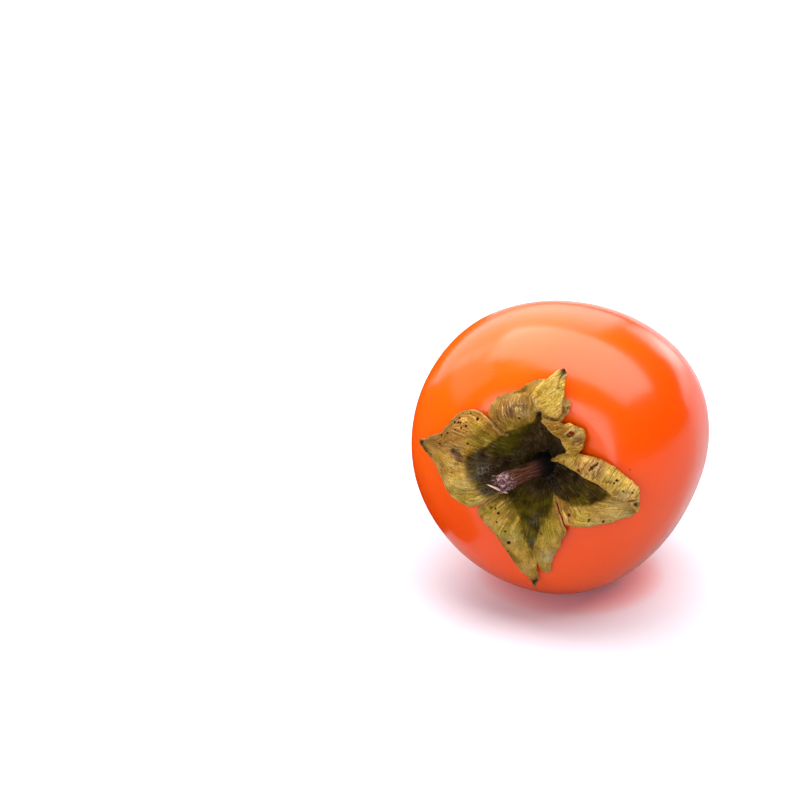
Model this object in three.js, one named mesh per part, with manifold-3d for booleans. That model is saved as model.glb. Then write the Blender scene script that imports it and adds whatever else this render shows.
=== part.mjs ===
// A ripe persimmon, picked, lying on its side with its calyx facing -Y and slightly up.
// Four separate pieces: the fruit, the dried four-lobed calyx, the stub of its stem,
// and the dry tip of the flower's style at the blossom end.
// Millimetres, +Z up. The origin is the middle of the small flat spot that the fruit rests on.
import * as THREE from "three";
import { mergeVertices } from "three/addons/utils/BufferGeometryUtils.js";
import Module from "manifold-3d";

const wasm = await Module();
wasm.setup();

// ---- driving dimensions ----

// How the fruit lies: its axis rises towards the calyx, and is turned a little towards -X.
const restTilt = THREE.MathUtils.degToRad(12.2);
const restTurn = THREE.MathUtils.degToRad(13.5);

// The flat spot that a soft fruit presses itself when it lies on its side.
const spotDepth = 0.9;

// Half of the fruit's outline, from the blossom end to the floor of the calyx dimple:
// [distance from the axis, height along the axis], with height 0 near the widest ring.
const fruitOutline = [
  [0, -45.2],
  [8, -43.6],
  [15.5, -39.9],
  [24.3, -33.3],
  [31, -23.6],
  [35.1, -12],
  [36.7, -3.3],
  [37.1, 5.4],
  [35.1, 16.9],
  [30.5, 25],
  [24.7, 29.9],
  [20, 32.2],
  [16, 32.9],
  [12, 31.6],
  [8, 28.5],
  [4, 25.9],
  [0, 25.5],
];
const fruitRings = 34;
const fruitSides = 64;

// The fruit isn't quite round: [lobes round the axis, share of the radius, bearing of a lobe].
const fruitLobing = [
  [2, 0.007, 16],
  [3, 0.0215, 32],
  [4, 0.0105, 24],
];
const lobingStart = 10; // nearer the axis than this, the fruit is round
const lobingFull = 30; // and from here out it has its full lobing

// The calyx: a thin dry sheet that lines the dimple and spreads into four pointed lobes.
// Its margin, anticlockwise seen from outside: [bearing, reach from the axis, lift off the fruit].
const calyxMargin = [
  // upper lobe, with a torn notch at 67 degrees and its point at 80
  [34, 11, 4.6],
  [42, 14.4, 4.2],
  [52, 14.6, 3.6],
  [62, 13.4, 3.2],
  [68, 14.0, 3.0],
  [71, 18.8, 2.8],
  [77, 21.6, 2.4],
  [80.5, 25.1, 2.0],
  [88, 22, 2.2],
  [96, 21.2, 2.8],
  [106, 19.8, 3.0],
  [120, 19.5, 2.8],
  [132, 18.6, 2.2],
  [139, 13, 1.6],
  // left lobe
  [143, 21, 2.8],
  [150, 23.6, 3.0],
  [160, 25, 2.4],
  [169, 27.6, 1.6],
  [175, 31.2, 1.0],
  [180, 28.8, 1.2],
  [190, 24.4, 1.6],
  [203, 22.6, 1.4],
  [212, 18.8, 1.2],
  [216, 14, 1.0],
  // lower lobe
  [220, 19, 1.0],
  [236, 19.2, 2.0],
  [248, 21, 1.6],
  [262, 26.8, 1.0],
  [270, 30.6, 1.0],
  [277, 26.4, 1.0],
  [283, 22, 1.4],
  [293, 17.8, 1.8],
  [299, 9, 1.4],
  // right lobe, its sides raised like a spoon
  [304, 14.5, 3.4],
  [312, 16.6, 3.6],
  [322, 19.4, 3.6],
  [334, 23, 3.2],
  [341, 25.4, 3.0],
  [354, 24.4, 3.8],
  [361, 21, 5.0],
  [369, 18, 5.6],
  [377, 13.8, 5.8],
  [385, 10, 5.2],
  [390, 7.4, 4.4],
];
const calyxThickness = 0.9;
const calyxClearance = 0.5;
const calyxRings = 9;
const calyxSides = 96;
const calyxRiseStart = 0.3; // share of the reach where a lobe starts to leave the fruit
const calyxRiseEnd = 0.85; // and where it has its full lift

// The stem's stub: [radius, distance along the stub], and the line that it leans along.
const stemOutline = [
  [0, 0],
  [3.1, 0],
  [2.6, 1.4],
  [2.2, 4.5],
  [2.4, 8.5],
  [2.6, 12],
  [1.6, 14.2],
  [0, 14.8],
];
const stemLine = [
  [0, 0, 27.9],
  [-0.3, -0.1, 29.6],
  [-2.4, -1.0, 32.0],
  [-6.6, -2.9, 34.6],
  [-11.2, -4.8, 36.8],
];
const stemSides = 16;

// The dry tip at the blossom end: [radius, height above the fruit's end].
const tipOutline = [
  [0, 0],
  [0.9, 0],
  [0.8, 0.4],
  [0.45, 0.8],
  [0, 1.1],
];
const tipGap = 0.3;
const tipSides = 12;

// ---- small helpers ----

const point2 = ([x, y]) => new THREE.Vector2(x, y);

// The height of a row of points at a place between them, along straight lines.
function between(rows, place, column) {
  for (let i = 1; i < rows.length; i++) {
    const [before, after] = [rows[i - 1], rows[i]];
    if (place > after[0]) continue;
    const share = (place - before[0]) / (after[0] - before[0]);
    return THREE.MathUtils.lerp(before[column], after[column], share);
  }
  return rows[rows.length - 1][column];
}

// Moves every vertex of a lathed shape: change gets the radius, the bearing and the height,
// and gives back the new radius and height. The bearing is anticlockwise seen from +Y.
function reshape(geometry, change) {
  const place = geometry.attributes.position;
  for (let i = 0; i < place.count; i++) {
    const radius = Math.hypot(place.getX(i), place.getZ(i));
    const bearing = Math.atan2(-place.getZ(i), place.getX(i));
    const [newRadius, newHeight] = change(radius, bearing, place.getY(i));
    place.setXYZ(i, newRadius * Math.cos(bearing), newHeight, -newRadius * Math.sin(bearing));
  }
  return geometry;
}

// Leaves only positions, joined where they meet, so that the surface is closed.
function closed(geometry) {
  geometry.deleteAttribute("normal");
  geometry.deleteAttribute("uv");
  return mergeVertices(geometry, 1e-4);
}

function toSolid(geometry) {
  return new wasm.Manifold(
    new wasm.Mesh({
      numProp: 3,
      vertProperties: new Float32Array(geometry.attributes.position.array),
      triVerts: new Uint32Array(geometry.index.array),
    }),
  );
}

function toGeometry(solid) {
  const { vertProperties, triVerts } = solid.getMesh();
  const geometry = new THREE.BufferGeometry();
  geometry.setAttribute("position", new THREE.BufferAttribute(vertProperties, 3));
  geometry.setIndex(new THREE.BufferAttribute(triVerts, 1));
  geometry.computeVertexNormals();
  return geometry;
}

function namedMesh(name, geometry, color, roughness) {
  const material = new THREE.MeshStandardMaterial({ color, roughness, metalness: 0 });
  const mesh = new THREE.Mesh(geometry, material);
  mesh.name = name;
  return mesh;
}

// ---- the fruit ----

const outlineCurve = new THREE.SplineCurve(fruitOutline.map(point2));

// How much wider the fruit is at a bearing than a round one.
function lobing(radius, bearing) {
  const strength = THREE.MathUtils.smoothstep(radius, lobingStart, lobingFull);
  let share = 0;
  for (const [count, amount, degrees] of fruitLobing) {
    share += amount * Math.cos(count * (bearing - THREE.MathUtils.degToRad(degrees)));
  }
  return 1 + strength * share;
}

// The upper side of the fruit, as [radius, height] from the axis out to the widest ring.
const shoulder = outlineCurve
  .getPoints(400)
  .map((p) => [p.x, p.y])
  .filter(([, height]) => height > 5.4)
  .reverse();

function fruitTop(radius, bearing) {
  return between(shoulder, radius / lobing(radius, bearing), 1);
}

function makeFruit() {
  const profile = outlineCurve.getSpacedPoints(fruitRings);
  profile[0].x = 0;
  profile[fruitRings].x = 0;
  const round = new THREE.LatheGeometry(profile, fruitSides);
  return closed(reshape(round, (radius, bearing, height) => [radius * lobing(radius, bearing), height]));
}

// ---- the calyx ----

// A bearing in degrees, in the range that the margin's rows cover.
function marginBearing(bearing) {
  const degrees = THREE.MathUtils.radToDeg(bearing);
  const first = calyxMargin[0][0];
  return THREE.MathUtils.euclideanModulo(degrees - first, 360) + first;
}

const marginRound = [...calyxMargin, [calyxMargin[0][0] + 360, ...calyxMargin[0].slice(1)]];

// The middle of the calyx sheet at a share of the way out to its margin.
function calyxMiddle(share, bearing) {
  const degrees = marginBearing(bearing);
  const radius = share * between(marginRound, degrees, 1);
  const rise = THREE.MathUtils.smoothstep(share, calyxRiseStart, calyxRiseEnd);
  const lift = calyxClearance + rise * (between(marginRound, degrees, 2) - calyxClearance);
  return [radius, fruitTop(radius, bearing) + calyxThickness / 2 + Math.max(lift, calyxClearance)];
}

// A flat disc one unit in radius, as thick as the sheet, is bent into the lobes' shape.
function makeCalyx() {
  const half = calyxThickness / 2;
  const under = [];
  const over = [];
  for (let i = 0; i <= calyxRings; i++) {
    under.push(new THREE.Vector2(i / calyxRings, -half));
    over.unshift(new THREE.Vector2(i / calyxRings, half));
  }
  const disc = new THREE.LatheGeometry([...under, ...over], calyxSides);
  const bent = reshape(disc, (share, bearing, height) => {
    const [radius, middle] = calyxMiddle(share, bearing);
    return [radius, middle + height];
  });
  return closed(bent);
}

// ---- the stem's stub and the dry tip ----

// Lays a lathed shape along a curve, its own axis following the curve's line.
function bendAlong(geometry, curve, length) {
  const place = geometry.attributes.position;
  const side = new THREE.Vector3(0, 0, 1);
  for (let i = 0; i < place.count; i++) {
    const along = Math.min(place.getY(i) / length, 1);
    const forward = curve.getTangentAt(along);
    const across = new THREE.Vector3().crossVectors(forward, side).normalize();
    const depth = new THREE.Vector3().crossVectors(across, forward);
    const bent = curve
      .getPointAt(along)
      .addScaledVector(across, place.getX(i))
      .addScaledVector(depth, place.getZ(i));
    place.setXYZ(i, bent.x, bent.y, bent.z);
  }
  return geometry;
}

function makeStem() {
  const points = stemLine.map(([right, up, out]) => new THREE.Vector3(right, out, -up));
  const length = stemOutline[stemOutline.length - 1][1];
  const straight = new THREE.LatheGeometry(stemOutline.map(point2), stemSides);
  return closed(bendAlong(straight, new THREE.CatmullRomCurve3(points), length));
}

function makeTip() {
  const end = fruitOutline[0][1] - tipGap;
  const profile = tipOutline.map(([radius, height]) => new THREE.Vector2(radius, end - height));
  return closed(new THREE.LatheGeometry(profile.reverse(), tipSides));
}

// ---- the whole fruit, laid on its side ----

// Inside this group the fruit's own axis is +Y, towards the calyx, and -Z is up.
const lying = new THREE.Group();
lying.rotation.set(Math.PI - restTilt, 0, -restTurn, "ZYX");
lying.updateMatrixWorld(true);

// The lowest point of a shape once the fruit lies as it rests.
function lowestPoint(geometry) {
  const place = geometry.attributes.position;
  let lowest = new THREE.Vector3(0, 0, Infinity);
  for (let i = 0; i < place.count; i++) {
    const point = new THREE.Vector3().fromBufferAttribute(place, i).applyMatrix4(lying.matrixWorld);
    if (point.z < lowest.z) lowest = point;
  }
  return lowest;
}

// Cuts away what is below the resting plane, which leaves the flat spot.
function cutFlatSpot(geometry) {
  const size = 120;
  const below = new THREE.BoxGeometry(size, size, size);
  below.translate(0, 0, -size / 2);
  below.applyMatrix4(lying.matrixWorld.clone().invert());
  return toGeometry(toSolid(geometry).subtract(toSolid(closed(below))));
}

const roundFruit = makeFruit();
const lowest = lowestPoint(roundFruit);
lying.position.set(-lowest.x, -lowest.y, -lowest.z - spotDepth);
lying.updateMatrixWorld(true);

lying.add(namedMesh("fruit_body", cutFlatSpot(roundFruit), 0xf0630e, 0.3));
lying.add(namedMesh("calyx", makeCalyx(), 0x92794a, 0.8));
lying.add(namedMesh("stem_stub", makeStem(), 0x5a3a34, 0.85));
lying.add(namedMesh("blossom_tip", makeTip(), 0x241a14, 0.8));

const persimmon = new THREE.Group();
persimmon.add(lying);

export default persimmon;
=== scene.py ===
import bisect
import math
import random

import bmesh
import bpy
from mathutils import Matrix, Vector, noise
from mathutils.kdtree import KDTree


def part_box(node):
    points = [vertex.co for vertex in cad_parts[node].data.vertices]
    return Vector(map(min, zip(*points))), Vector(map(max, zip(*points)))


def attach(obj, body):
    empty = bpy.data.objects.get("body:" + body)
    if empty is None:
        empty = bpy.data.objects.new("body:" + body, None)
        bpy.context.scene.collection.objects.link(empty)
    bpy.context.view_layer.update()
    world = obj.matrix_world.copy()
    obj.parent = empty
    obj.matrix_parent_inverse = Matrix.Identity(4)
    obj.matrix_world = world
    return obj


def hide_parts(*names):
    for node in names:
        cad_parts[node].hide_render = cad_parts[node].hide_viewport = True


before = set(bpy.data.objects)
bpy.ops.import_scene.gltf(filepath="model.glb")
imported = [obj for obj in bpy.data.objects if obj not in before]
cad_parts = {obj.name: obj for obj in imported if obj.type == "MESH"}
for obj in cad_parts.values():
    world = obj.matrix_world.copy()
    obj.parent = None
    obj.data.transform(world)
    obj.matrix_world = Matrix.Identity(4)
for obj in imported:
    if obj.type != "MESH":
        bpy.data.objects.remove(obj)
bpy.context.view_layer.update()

scene = bpy.context.scene
scene.view_settings.view_transform = "Standard"

# The fruit is worked in millimetres in its own frame: x to the right and y up as the calyx is
# looked at, z along its axis and out through the calyx. toRow lays it down in the row's metres.
lying = {
    "tilt": 12.2,         # degrees that the axis rises towards the calyx
    "turn": 13.5,         # degrees that it is turned to the left
    "tipFromCentre": 46.05,  # mm from the fruit's centre to the middle of the blossom tip
    "millimetre": 0.001,
}


def fruitFrame():
    tilt = math.radians(lying["tilt"])
    turn = math.radians(lying["turn"])
    axis = Vector((-math.sin(turn) * math.cos(tilt), -math.cos(turn) * math.cos(tilt), math.sin(tilt)))
    right = Vector((math.cos(turn), -math.sin(turn), 0))
    up = axis.cross(right)
    tipLow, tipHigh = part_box("blossom_tip")
    centre = (tipLow + tipHigh) / 2 + axis * lying["tipFromCentre"] / 1000
    place = Matrix((right, up, axis)).transposed().to_4x4()
    place.translation = centre
    return place @ Matrix.Scale(lying["millimetre"], 4)


toRow = fruitFrame()


def clamp(value, low=0.0, high=1.0):
    return max(low, min(high, value))


def smoothStep(low, high, value):
    share = clamp((value - low) / (high - low))
    return share * share * (3 - 2 * share)


def mix(a, b, share):
    return a + (b - a) * share


def polar(bearing, reach):
    angle = math.radians(bearing)
    return Vector((reach * math.cos(angle), reach * math.sin(angle), 0))


def rough(point, scale, seed=0.0):
    # soft noise between about -1 and 1, its lumps as wide as scale
    return noise.noise(Vector(point) / scale + Vector((seed, seed * 1.7, seed * 2.3)))


fineSteps = 40  # stretches between two points of a line that is then cut into equal lengths


def smoothCurve(points, steps):
    # a smooth line through the points, with steps stretches between each two
    line = []
    for i in range(len(points) - 1):
        a = Vector(points[max(i - 1, 0)])
        b = Vector(points[i])
        c = Vector(points[i + 1])
        d = Vector(points[min(i + 2, len(points) - 1)])
        for k in range(steps):
            t = k / steps
            line.append(b + t * (c - a) / 2
                        + t * t * (a - 2.5 * b + 2 * c - d / 2)
                        + t * t * t * (1.5 * b - a / 2 - 1.5 * c + d / 2))
    line.append(Vector(points[-1]))
    return line


def evenCurve(points, count):
    # the same line, cut into equal lengths
    fine = smoothCurve(points, fineSteps)
    lengths = [0.0]
    for a, b in zip(fine, fine[1:]):
        lengths.append(lengths[-1] + (b - a).length)
    even = []
    at = 0
    for k in range(count + 1):
        want = lengths[-1] * k / count
        while at < len(fine) - 2 and lengths[at + 1] < want:
            at += 1
        share = (want - lengths[at]) / max(lengths[at + 1] - lengths[at], 1e-9)
        even.append(fine[at].lerp(fine[at + 1], share))
    return even


def closedProfile(points, count):
    # an outline cut into equal lengths, with both its ends brought onto the axis
    profile = [tuple(p) for p in evenCurve(points, count)]
    profile[0] = (0, profile[0][1])
    profile[-1] = (0, profile[-1][1])
    return profile


def spunShape(profile, steps):
    # a closed shape spun round z from (radius, height) points that start and end on the axis
    bm = bmesh.new()
    verts = [bm.verts.new((r, 0, z)) for r, z in profile]
    edges = [bm.edges.new(pair) for pair in zip(verts, verts[1:])]
    bmesh.ops.spin(bm, geom=verts + edges, cent=(0, 0, 0), axis=(0, 0, 1),
                   angle=math.tau, steps=steps, use_merge=True)
    bmesh.ops.remove_doubles(bm, verts=bm.verts, dist=1e-4)
    bmesh.ops.recalc_face_normals(bm, faces=bm.faces)
    return bm


def addToScene(bm, name, material):
    mesh = bpy.data.meshes.new(name)
    bm.to_mesh(mesh)
    bm.free()
    mesh.materials.append(material)
    made = bpy.data.objects.new(name, mesh)
    scene.collection.objects.link(made)
    return made


def finishPiece(bm, name, material, node, subdivide=0, thickness=0.0):
    # lays the piece down in the row's frame, gives it its material and body, and hides the CAD part it
    # stands for
    bmesh.ops.transform(bm, matrix=toRow, verts=bm.verts)
    for face in bm.faces:
        face.smooth = True
    piece = addToScene(bm, name, material)
    if thickness:
        wall = piece.modifiers.new("thickness", "SOLIDIFY")
        wall.thickness = thickness / 1000
        wall.offset = 0
    if subdivide:
        smooth = piece.modifiers.new("smooth", "SUBSURF")
        smooth.levels = subdivide
        smooth.render_levels = subdivide
    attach(piece, "root")
    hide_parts(node)
    print("made", name, len(piece.data.polygons), "faces")


def newMaterial(name):
    material = bpy.data.materials.new(name)
    material.use_nodes = True
    return material, material.node_tree, material.node_tree.nodes["Principled BSDF"]


def addNode(tree, kind, values=None, **settings):
    node = tree.nodes.new(kind)
    for key, value in settings.items():
        setattr(node, key, value)
    for key, value in (values or {}).items():
        if isinstance(value, bpy.types.NodeSocket):
            tree.links.new(value, node.inputs[key])
        else:
            node.inputs[key].default_value = value
    return node


def ramp(tree, factor, stops):
    node = addNode(tree, "ShaderNodeValToRGB", {"Fac": factor})
    bar = node.color_ramp
    while len(bar.elements) < len(stops):
        bar.elements.new(0.5)
    for element, (place, color) in zip(bar.elements, stops):
        element.position = place
        element.color = (*color, 1)
    return node.outputs["Color"]


def blendColor(tree, factor, a, b):
    # a Mix node set to colour has its factor at input 0 and its two colours at 6 and 7
    node = addNode(tree, "ShaderNodeMix", data_type="RGBA")
    tree.links.new(factor, node.inputs[0])
    for number, color in ((6, a), (7, b)):
        if isinstance(color, bpy.types.NodeSocket):
            tree.links.new(color, node.inputs[number])
        else:
            node.inputs[number].default_value = (*color, 1)
    return node.outputs[2]


def maths(tree, operation, a, b=None, clampIt=False):
    node = addNode(tree, "ShaderNodeMath", operation=operation, use_clamp=clampIt)
    for i, value in enumerate((a, b)):
        if isinstance(value, bpy.types.NodeSocket):
            tree.links.new(value, node.inputs[i])
        elif value is not None:
            node.inputs[i].default_value = value
    return node.outputs[0]


def mask(tree, value, low, high):
    # 0 below low, 1 above high, smooth between; high may be the lower one
    node = addNode(tree, "ShaderNodeMapRange", {"Value": value, "From Min": low, "From Max": high},
                   interpolation_type="SMOOTHSTEP")
    return node.outputs["Result"]


def noiseTexture(tree, place, scale, detail=3.0, roughness=0.55, distortion=0.0):
    node = addNode(tree, "ShaderNodeTexNoise", {
        "Vector": place, "Scale": scale, "Detail": detail, "Roughness": roughness,
        "Distortion": distortion})
    return node.outputs["Fac"]


def objectPlace(tree):
    # Object coordinates brought into the fruit's own frame, in metres
    coords = addNode(tree, "ShaderNodeTexCoord").outputs["Object"]
    turn = toRow.to_3x3().normalized().inverted()
    return addNode(tree, "ShaderNodeMapping", {
        "Vector": coords, "Rotation": tuple(turn.to_euler("XYZ")),
        "Location": tuple(turn @ -toRow.translation)}).outputs["Vector"]


def attribute(tree, name):
    return addNode(tree, "ShaderNodeAttribute", attribute_name=name).outputs["Fac"]


def specklesGroup():
    # round dark specks of uneven size, thinly scattered: 1 on a speck and 0 between them
    group = bpy.data.node_groups.new("specks", "ShaderNodeTree")
    face = group.interface
    face.new_socket("Vector", in_out="INPUT", socket_type="NodeSocketVector")
    face.new_socket("Scale", in_out="INPUT", socket_type="NodeSocketFloat")
    face.new_socket("Share", in_out="INPUT", socket_type="NodeSocketFloat")
    face.new_socket("Size", in_out="INPUT", socket_type="NodeSocketFloat")
    face.new_socket("Mask", in_out="OUTPUT", socket_type="NodeSocketFloat")
    ins = addNode(group, "NodeGroupInput")
    outs = addNode(group, "NodeGroupOutput")
    wobble = addNode(group, "ShaderNodeTexNoise", {
        "Vector": ins.outputs["Vector"], "Scale": 900.0, "Detail": 2.0})
    shift = addNode(group, "ShaderNodeVectorMath", {
        0: wobble.outputs["Color"], 1: (0.0006, 0.0006, 0.0006)}, operation="MULTIPLY")
    moved = addNode(group, "ShaderNodeVectorMath", {
        0: ins.outputs["Vector"], 1: shift.outputs[0]}, operation="ADD")
    cells = addNode(group, "ShaderNodeTexVoronoi", {
        "Vector": moved.outputs[0], "Scale": ins.outputs["Scale"]}, feature="F1")
    parts = addNode(group, "ShaderNodeSeparateColor", {"Color": cells.outputs["Color"]})
    chosen = maths(group, "LESS_THAN", parts.outputs[0], ins.outputs["Share"])
    uneven = maths(group, "ADD", maths(group, "MULTIPLY", parts.outputs[1], 1.2), 0.4)
    size = maths(group, "MULTIPLY", uneven, ins.outputs["Size"])
    near = maths(group, "SUBTRACT", 1.0, maths(group, "DIVIDE", cells.outputs["Distance"], size), True)
    soft = mask(group, near, 0.0, 0.35)
    group.links.new(maths(group, "MULTIPLY", chosen, soft), outs.inputs["Mask"])
    return group


def fibresGroup():
    # long thin streaks that run along the second direction of the vector, with their height
    group = bpy.data.node_groups.new("fibres", "ShaderNodeTree")
    face = group.interface
    face.new_socket("Vector", in_out="INPUT", socket_type="NodeSocketVector")
    face.new_socket("Across", in_out="INPUT", socket_type="NodeSocketFloat")
    face.new_socket("Along", in_out="INPUT", socket_type="NodeSocketFloat")
    face.new_socket("Tangle", in_out="INPUT", socket_type="NodeSocketFloat")
    face.new_socket("Streaks", in_out="OUTPUT", socket_type="NodeSocketFloat")
    ins = addNode(group, "NodeGroupInput")
    outs = addNode(group, "NodeGroupOutput")
    stretch = addNode(group, "ShaderNodeCombineXYZ", {
        "X": ins.outputs["Across"], "Y": ins.outputs["Along"], "Z": ins.outputs["Across"]})
    scaled = addNode(group, "ShaderNodeVectorMath", {0: ins.outputs["Vector"], 1: stretch.outputs[0]},
                     operation="MULTIPLY")
    coarse = addNode(group, "ShaderNodeTexNoise", {
        "Vector": scaled.outputs[0], "Scale": 1.0, "Detail": 4.0, "Roughness": 0.65,
        "Distortion": ins.outputs["Tangle"]})
    group.links.new(mask(group, coarse.outputs["Fac"], 0.3, 0.7), outs.inputs["Streaks"])
    return group


def dotMask(tree, place, ragged, spots):
    # 1 on small round specks with slightly ragged rims: their places and radii in mm
    wobble = maths(tree, "MULTIPLY", maths(tree, "SUBTRACT", ragged, 0.5), 0.0005)
    total = 0.0
    for centre, radius in spots:
        away = addNode(tree, "ShaderNodeVectorMath", {0: place, 1: centre / 1000}, operation="DISTANCE")
        # in metres: clear from 1.25 radii out, and full from 0.56 radii in
        dot = mask(tree, maths(tree, "ADD", away.outputs["Value"], wobble), radius / 800, radius / 1800)
        total = maths(tree, "MAXIMUM", dot, total)
    return total


specks = specklesGroup()
fibres = fibresGroup()


def useGroup(tree, group, output, values):
    node = addNode(tree, "ShaderNodeGroup", node_tree=group)
    for key, value in values.items():
        if isinstance(value, bpy.types.NodeSocket):
            tree.links.new(value, node.inputs[key])
        else:
            node.inputs[key].default_value = value
    return node.outputs[output]


studio = {
    "lens": 100.0,        # mm
    "sensor": 36.0,       # mm
    "lookDown": 23.5,     # degrees
    "distance": 0.568,    # m from the fruit's centre
    "aside": 0.0412,      # m that the fruit sits right of the view's middle
    "below": 0.0105,      # m that it sits below it
    "floorSize": 6.0,
    "room": 0.03,         # how bright the room is outside the soft boxes
    # Soft boxes: place and aim in m, long way, width and height in m, brightness.
    "boxes": {
        "overhead": ((0.2, 0.1, 1.5), (0.2, 0.1, 0.0), (0.83, -0.55, 0), (2.85, 1.5), 4.6),
        "backWall": ((-0.75, 2.0, 1.25), (-0.3, 0.0, 0.2), (1, 0, 0), (3.3, 2.3), 1.65),
        "cornerWall": ((1.02, 1.95, 0.36), (0.0, 0.0, 0.05), (1, -0.52, 0), (0.6, 0.62), 1.6),
        "lowWall": ((1.5, 1.6, 0.16), (0.0, 0.0, 0.05), (1, -0.9, 0), (1.5, 0.5), 1.5),
        "sideWall": ((-1.45, 0.45, 1.1), (0.0, 0.0, 0.05), (0.3, 0.95, 0), (1.5, 1.0), 1.2),
        "frontFill": ((-0.62, -1.35, 0.5), (0.0, 0.0, 0.05), (1, -0.46, 0), (1.7, 0.9), 3.2),
    },
    "floorColor": (0.44, 0.435, 0.47),
    "floorLift": (0.07, 0.06, 0.08),  # a little light of its own, so that it comes out nearly white
    # The floor as the camera sees it is paler, with a painted shadow close to the fruit: red there as
    # painted bounce light from the fruit's own glow, then lavender painted shade. Share of glowReach from
    # glowPlace, and colour.
    "glowPlace": (0.003, -0.002, 0.0),
    "glowReach": 0.05,    # m
    "paintedFloorShadow": [(0.34, (0.97, 0.34, 0.31)), (0.42, (0.97, 0.50, 0.48)), (0.5, (0.88, 0.73, 0.77)),
                  (0.64, (0.76, 0.71, 0.76)), (1.0, (0.74, 0.74, 0.79))],
    "fadeFrom": 0.15,     # m, from here on the floor fades
    "fadeTo": 0.6,        # m, to plain white
    # Four round orange cards at the left, seen only in the skin's gloss: middle and radius in m.
    "cards": [((-0.0795, 0.0, 0.029), 0.040), ((-0.052, 0.083, 0.036), 0.036),
              ((-0.066, 0.016, 0.002), 0.031), ((-0.066, -0.022, 0.006), 0.028)],
    "cardColor": (0.62, 0.055, 0.002),
    "cardShade": 0.8,     # the darkest parts of a card, as a share of its colour
}


def makeCamera():
    data = bpy.data.cameras.new("camera")
    data.lens = studio["lens"]
    data.sensor_width = studio["sensor"]
    data.clip_start = 0.01
    down = math.radians(studio["lookDown"])
    forward = Vector((0, math.cos(down), -math.sin(down)))
    up = Vector((0, math.sin(down), math.cos(down)))
    camera = bpy.data.objects.new("camera", data)
    camera.location = (toRow.translation - forward * studio["distance"]
                       - Vector((studio["aside"], 0, 0)) + up * studio["below"])
    camera.rotation_euler = (math.radians(90) - down, 0, 0)
    scene.collection.objects.link(camera)
    scene.camera = camera


def makeFloor():
    bm = bmesh.new()
    bmesh.ops.create_grid(bm, x_segments=1, y_segments=1, size=studio["floorSize"] / 2)
    material, tree, shader = newMaterial("paleFloor")
    seen = addNode(tree, "ShaderNodeLightPath").outputs["Is Camera Ray"]
    coords = addNode(tree, "ShaderNodeTexCoord").outputs["Object"]
    # the painted shadow and painted red bounce light round the fruit, seen by the camera only
    away = addNode(tree, "ShaderNodeVectorMath", {0: coords, 1: studio["glowPlace"]}, operation="DISTANCE")
    share = maths(tree, "DIVIDE", away.outputs["Value"], studio["glowReach"])
    paintedShadow = ramp(tree, share, studio["paintedFloorShadow"])
    pale = blendColor(tree, seen, studio["floorColor"], paintedShadow)
    tree.links.new(pale, shader.inputs["Base Color"])
    shader.inputs["Roughness"].default_value = 0.7
    far = mask(tree, away.outputs["Value"], studio["fadeFrom"], studio["fadeTo"])
    tree.links.new(blendColor(tree, far, studio["floorLift"], (1, 1, 1)), shader.inputs["Emission Color"])
    tree.links.new(seen, shader.inputs["Emission Strength"])
    addToScene(bm, "floor", material)


def makeCards():
    material, tree, shader = newMaterial("orangeCard")
    tone = noiseTexture(tree, addNode(tree, "ShaderNodeTexCoord").outputs["Object"], 20.0)
    dimmed = tuple(studio["cardShade"] * value for value in studio["cardColor"])
    color = ramp(tree, tone, [(0.3, dimmed), (0.7, studio["cardColor"])])
    tree.links.new(color, shader.inputs["Base Color"])
    shader.inputs["Roughness"].default_value = 0.5
    shader.inputs["Specular IOR Level"].default_value = 0.0
    for number, (centre, radius) in enumerate(studio["cards"]):
        bm = bmesh.new()
        bmesh.ops.create_uvsphere(bm, u_segments=32, v_segments=16, radius=radius,
                                  matrix=Matrix.Translation(centre))
        card = addToScene(bm, "card" + str(number), material)
        card.visible_camera = False
        card.visible_diffuse = False
        card.visible_shadow = False


def softBox(name, place, aim, longWay, size, brightness):
    data = bpy.data.lights.new(name, "AREA")
    data.shape = "RECTANGLE"
    data.size, data.size_y = size
    data.energy = brightness * math.pi * size[0] * size[1]
    light = bpy.data.objects.new(name, data)
    back = (Vector(place) - Vector(aim)).normalized()
    side = Vector(longWay)
    side = (side - back * side.dot(back)).normalized()
    turn = Matrix((side, back.cross(side), back)).transposed()
    light.location = place
    light.rotation_euler = turn.to_euler()
    scene.collection.objects.link(light)


def makeLight():
    world = bpy.data.worlds.new("studio")
    scene.world = world
    world.use_nodes = True
    tree = world.node_tree
    ray = addNode(tree, "ShaderNodeLightPath")
    seen = addNode(tree, "ShaderNodeMapRange", {
        "Value": ray.outputs["Is Camera Ray"], "To Min": studio["room"], "To Max": 1.0})
    background = tree.nodes["Background"]
    background.inputs["Color"].default_value = (1, 1, 1, 1)
    tree.links.new(seen.outputs["Result"], background.inputs["Strength"])
    for name, values in studio["boxes"].items():
        softBox(name, *values)


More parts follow.
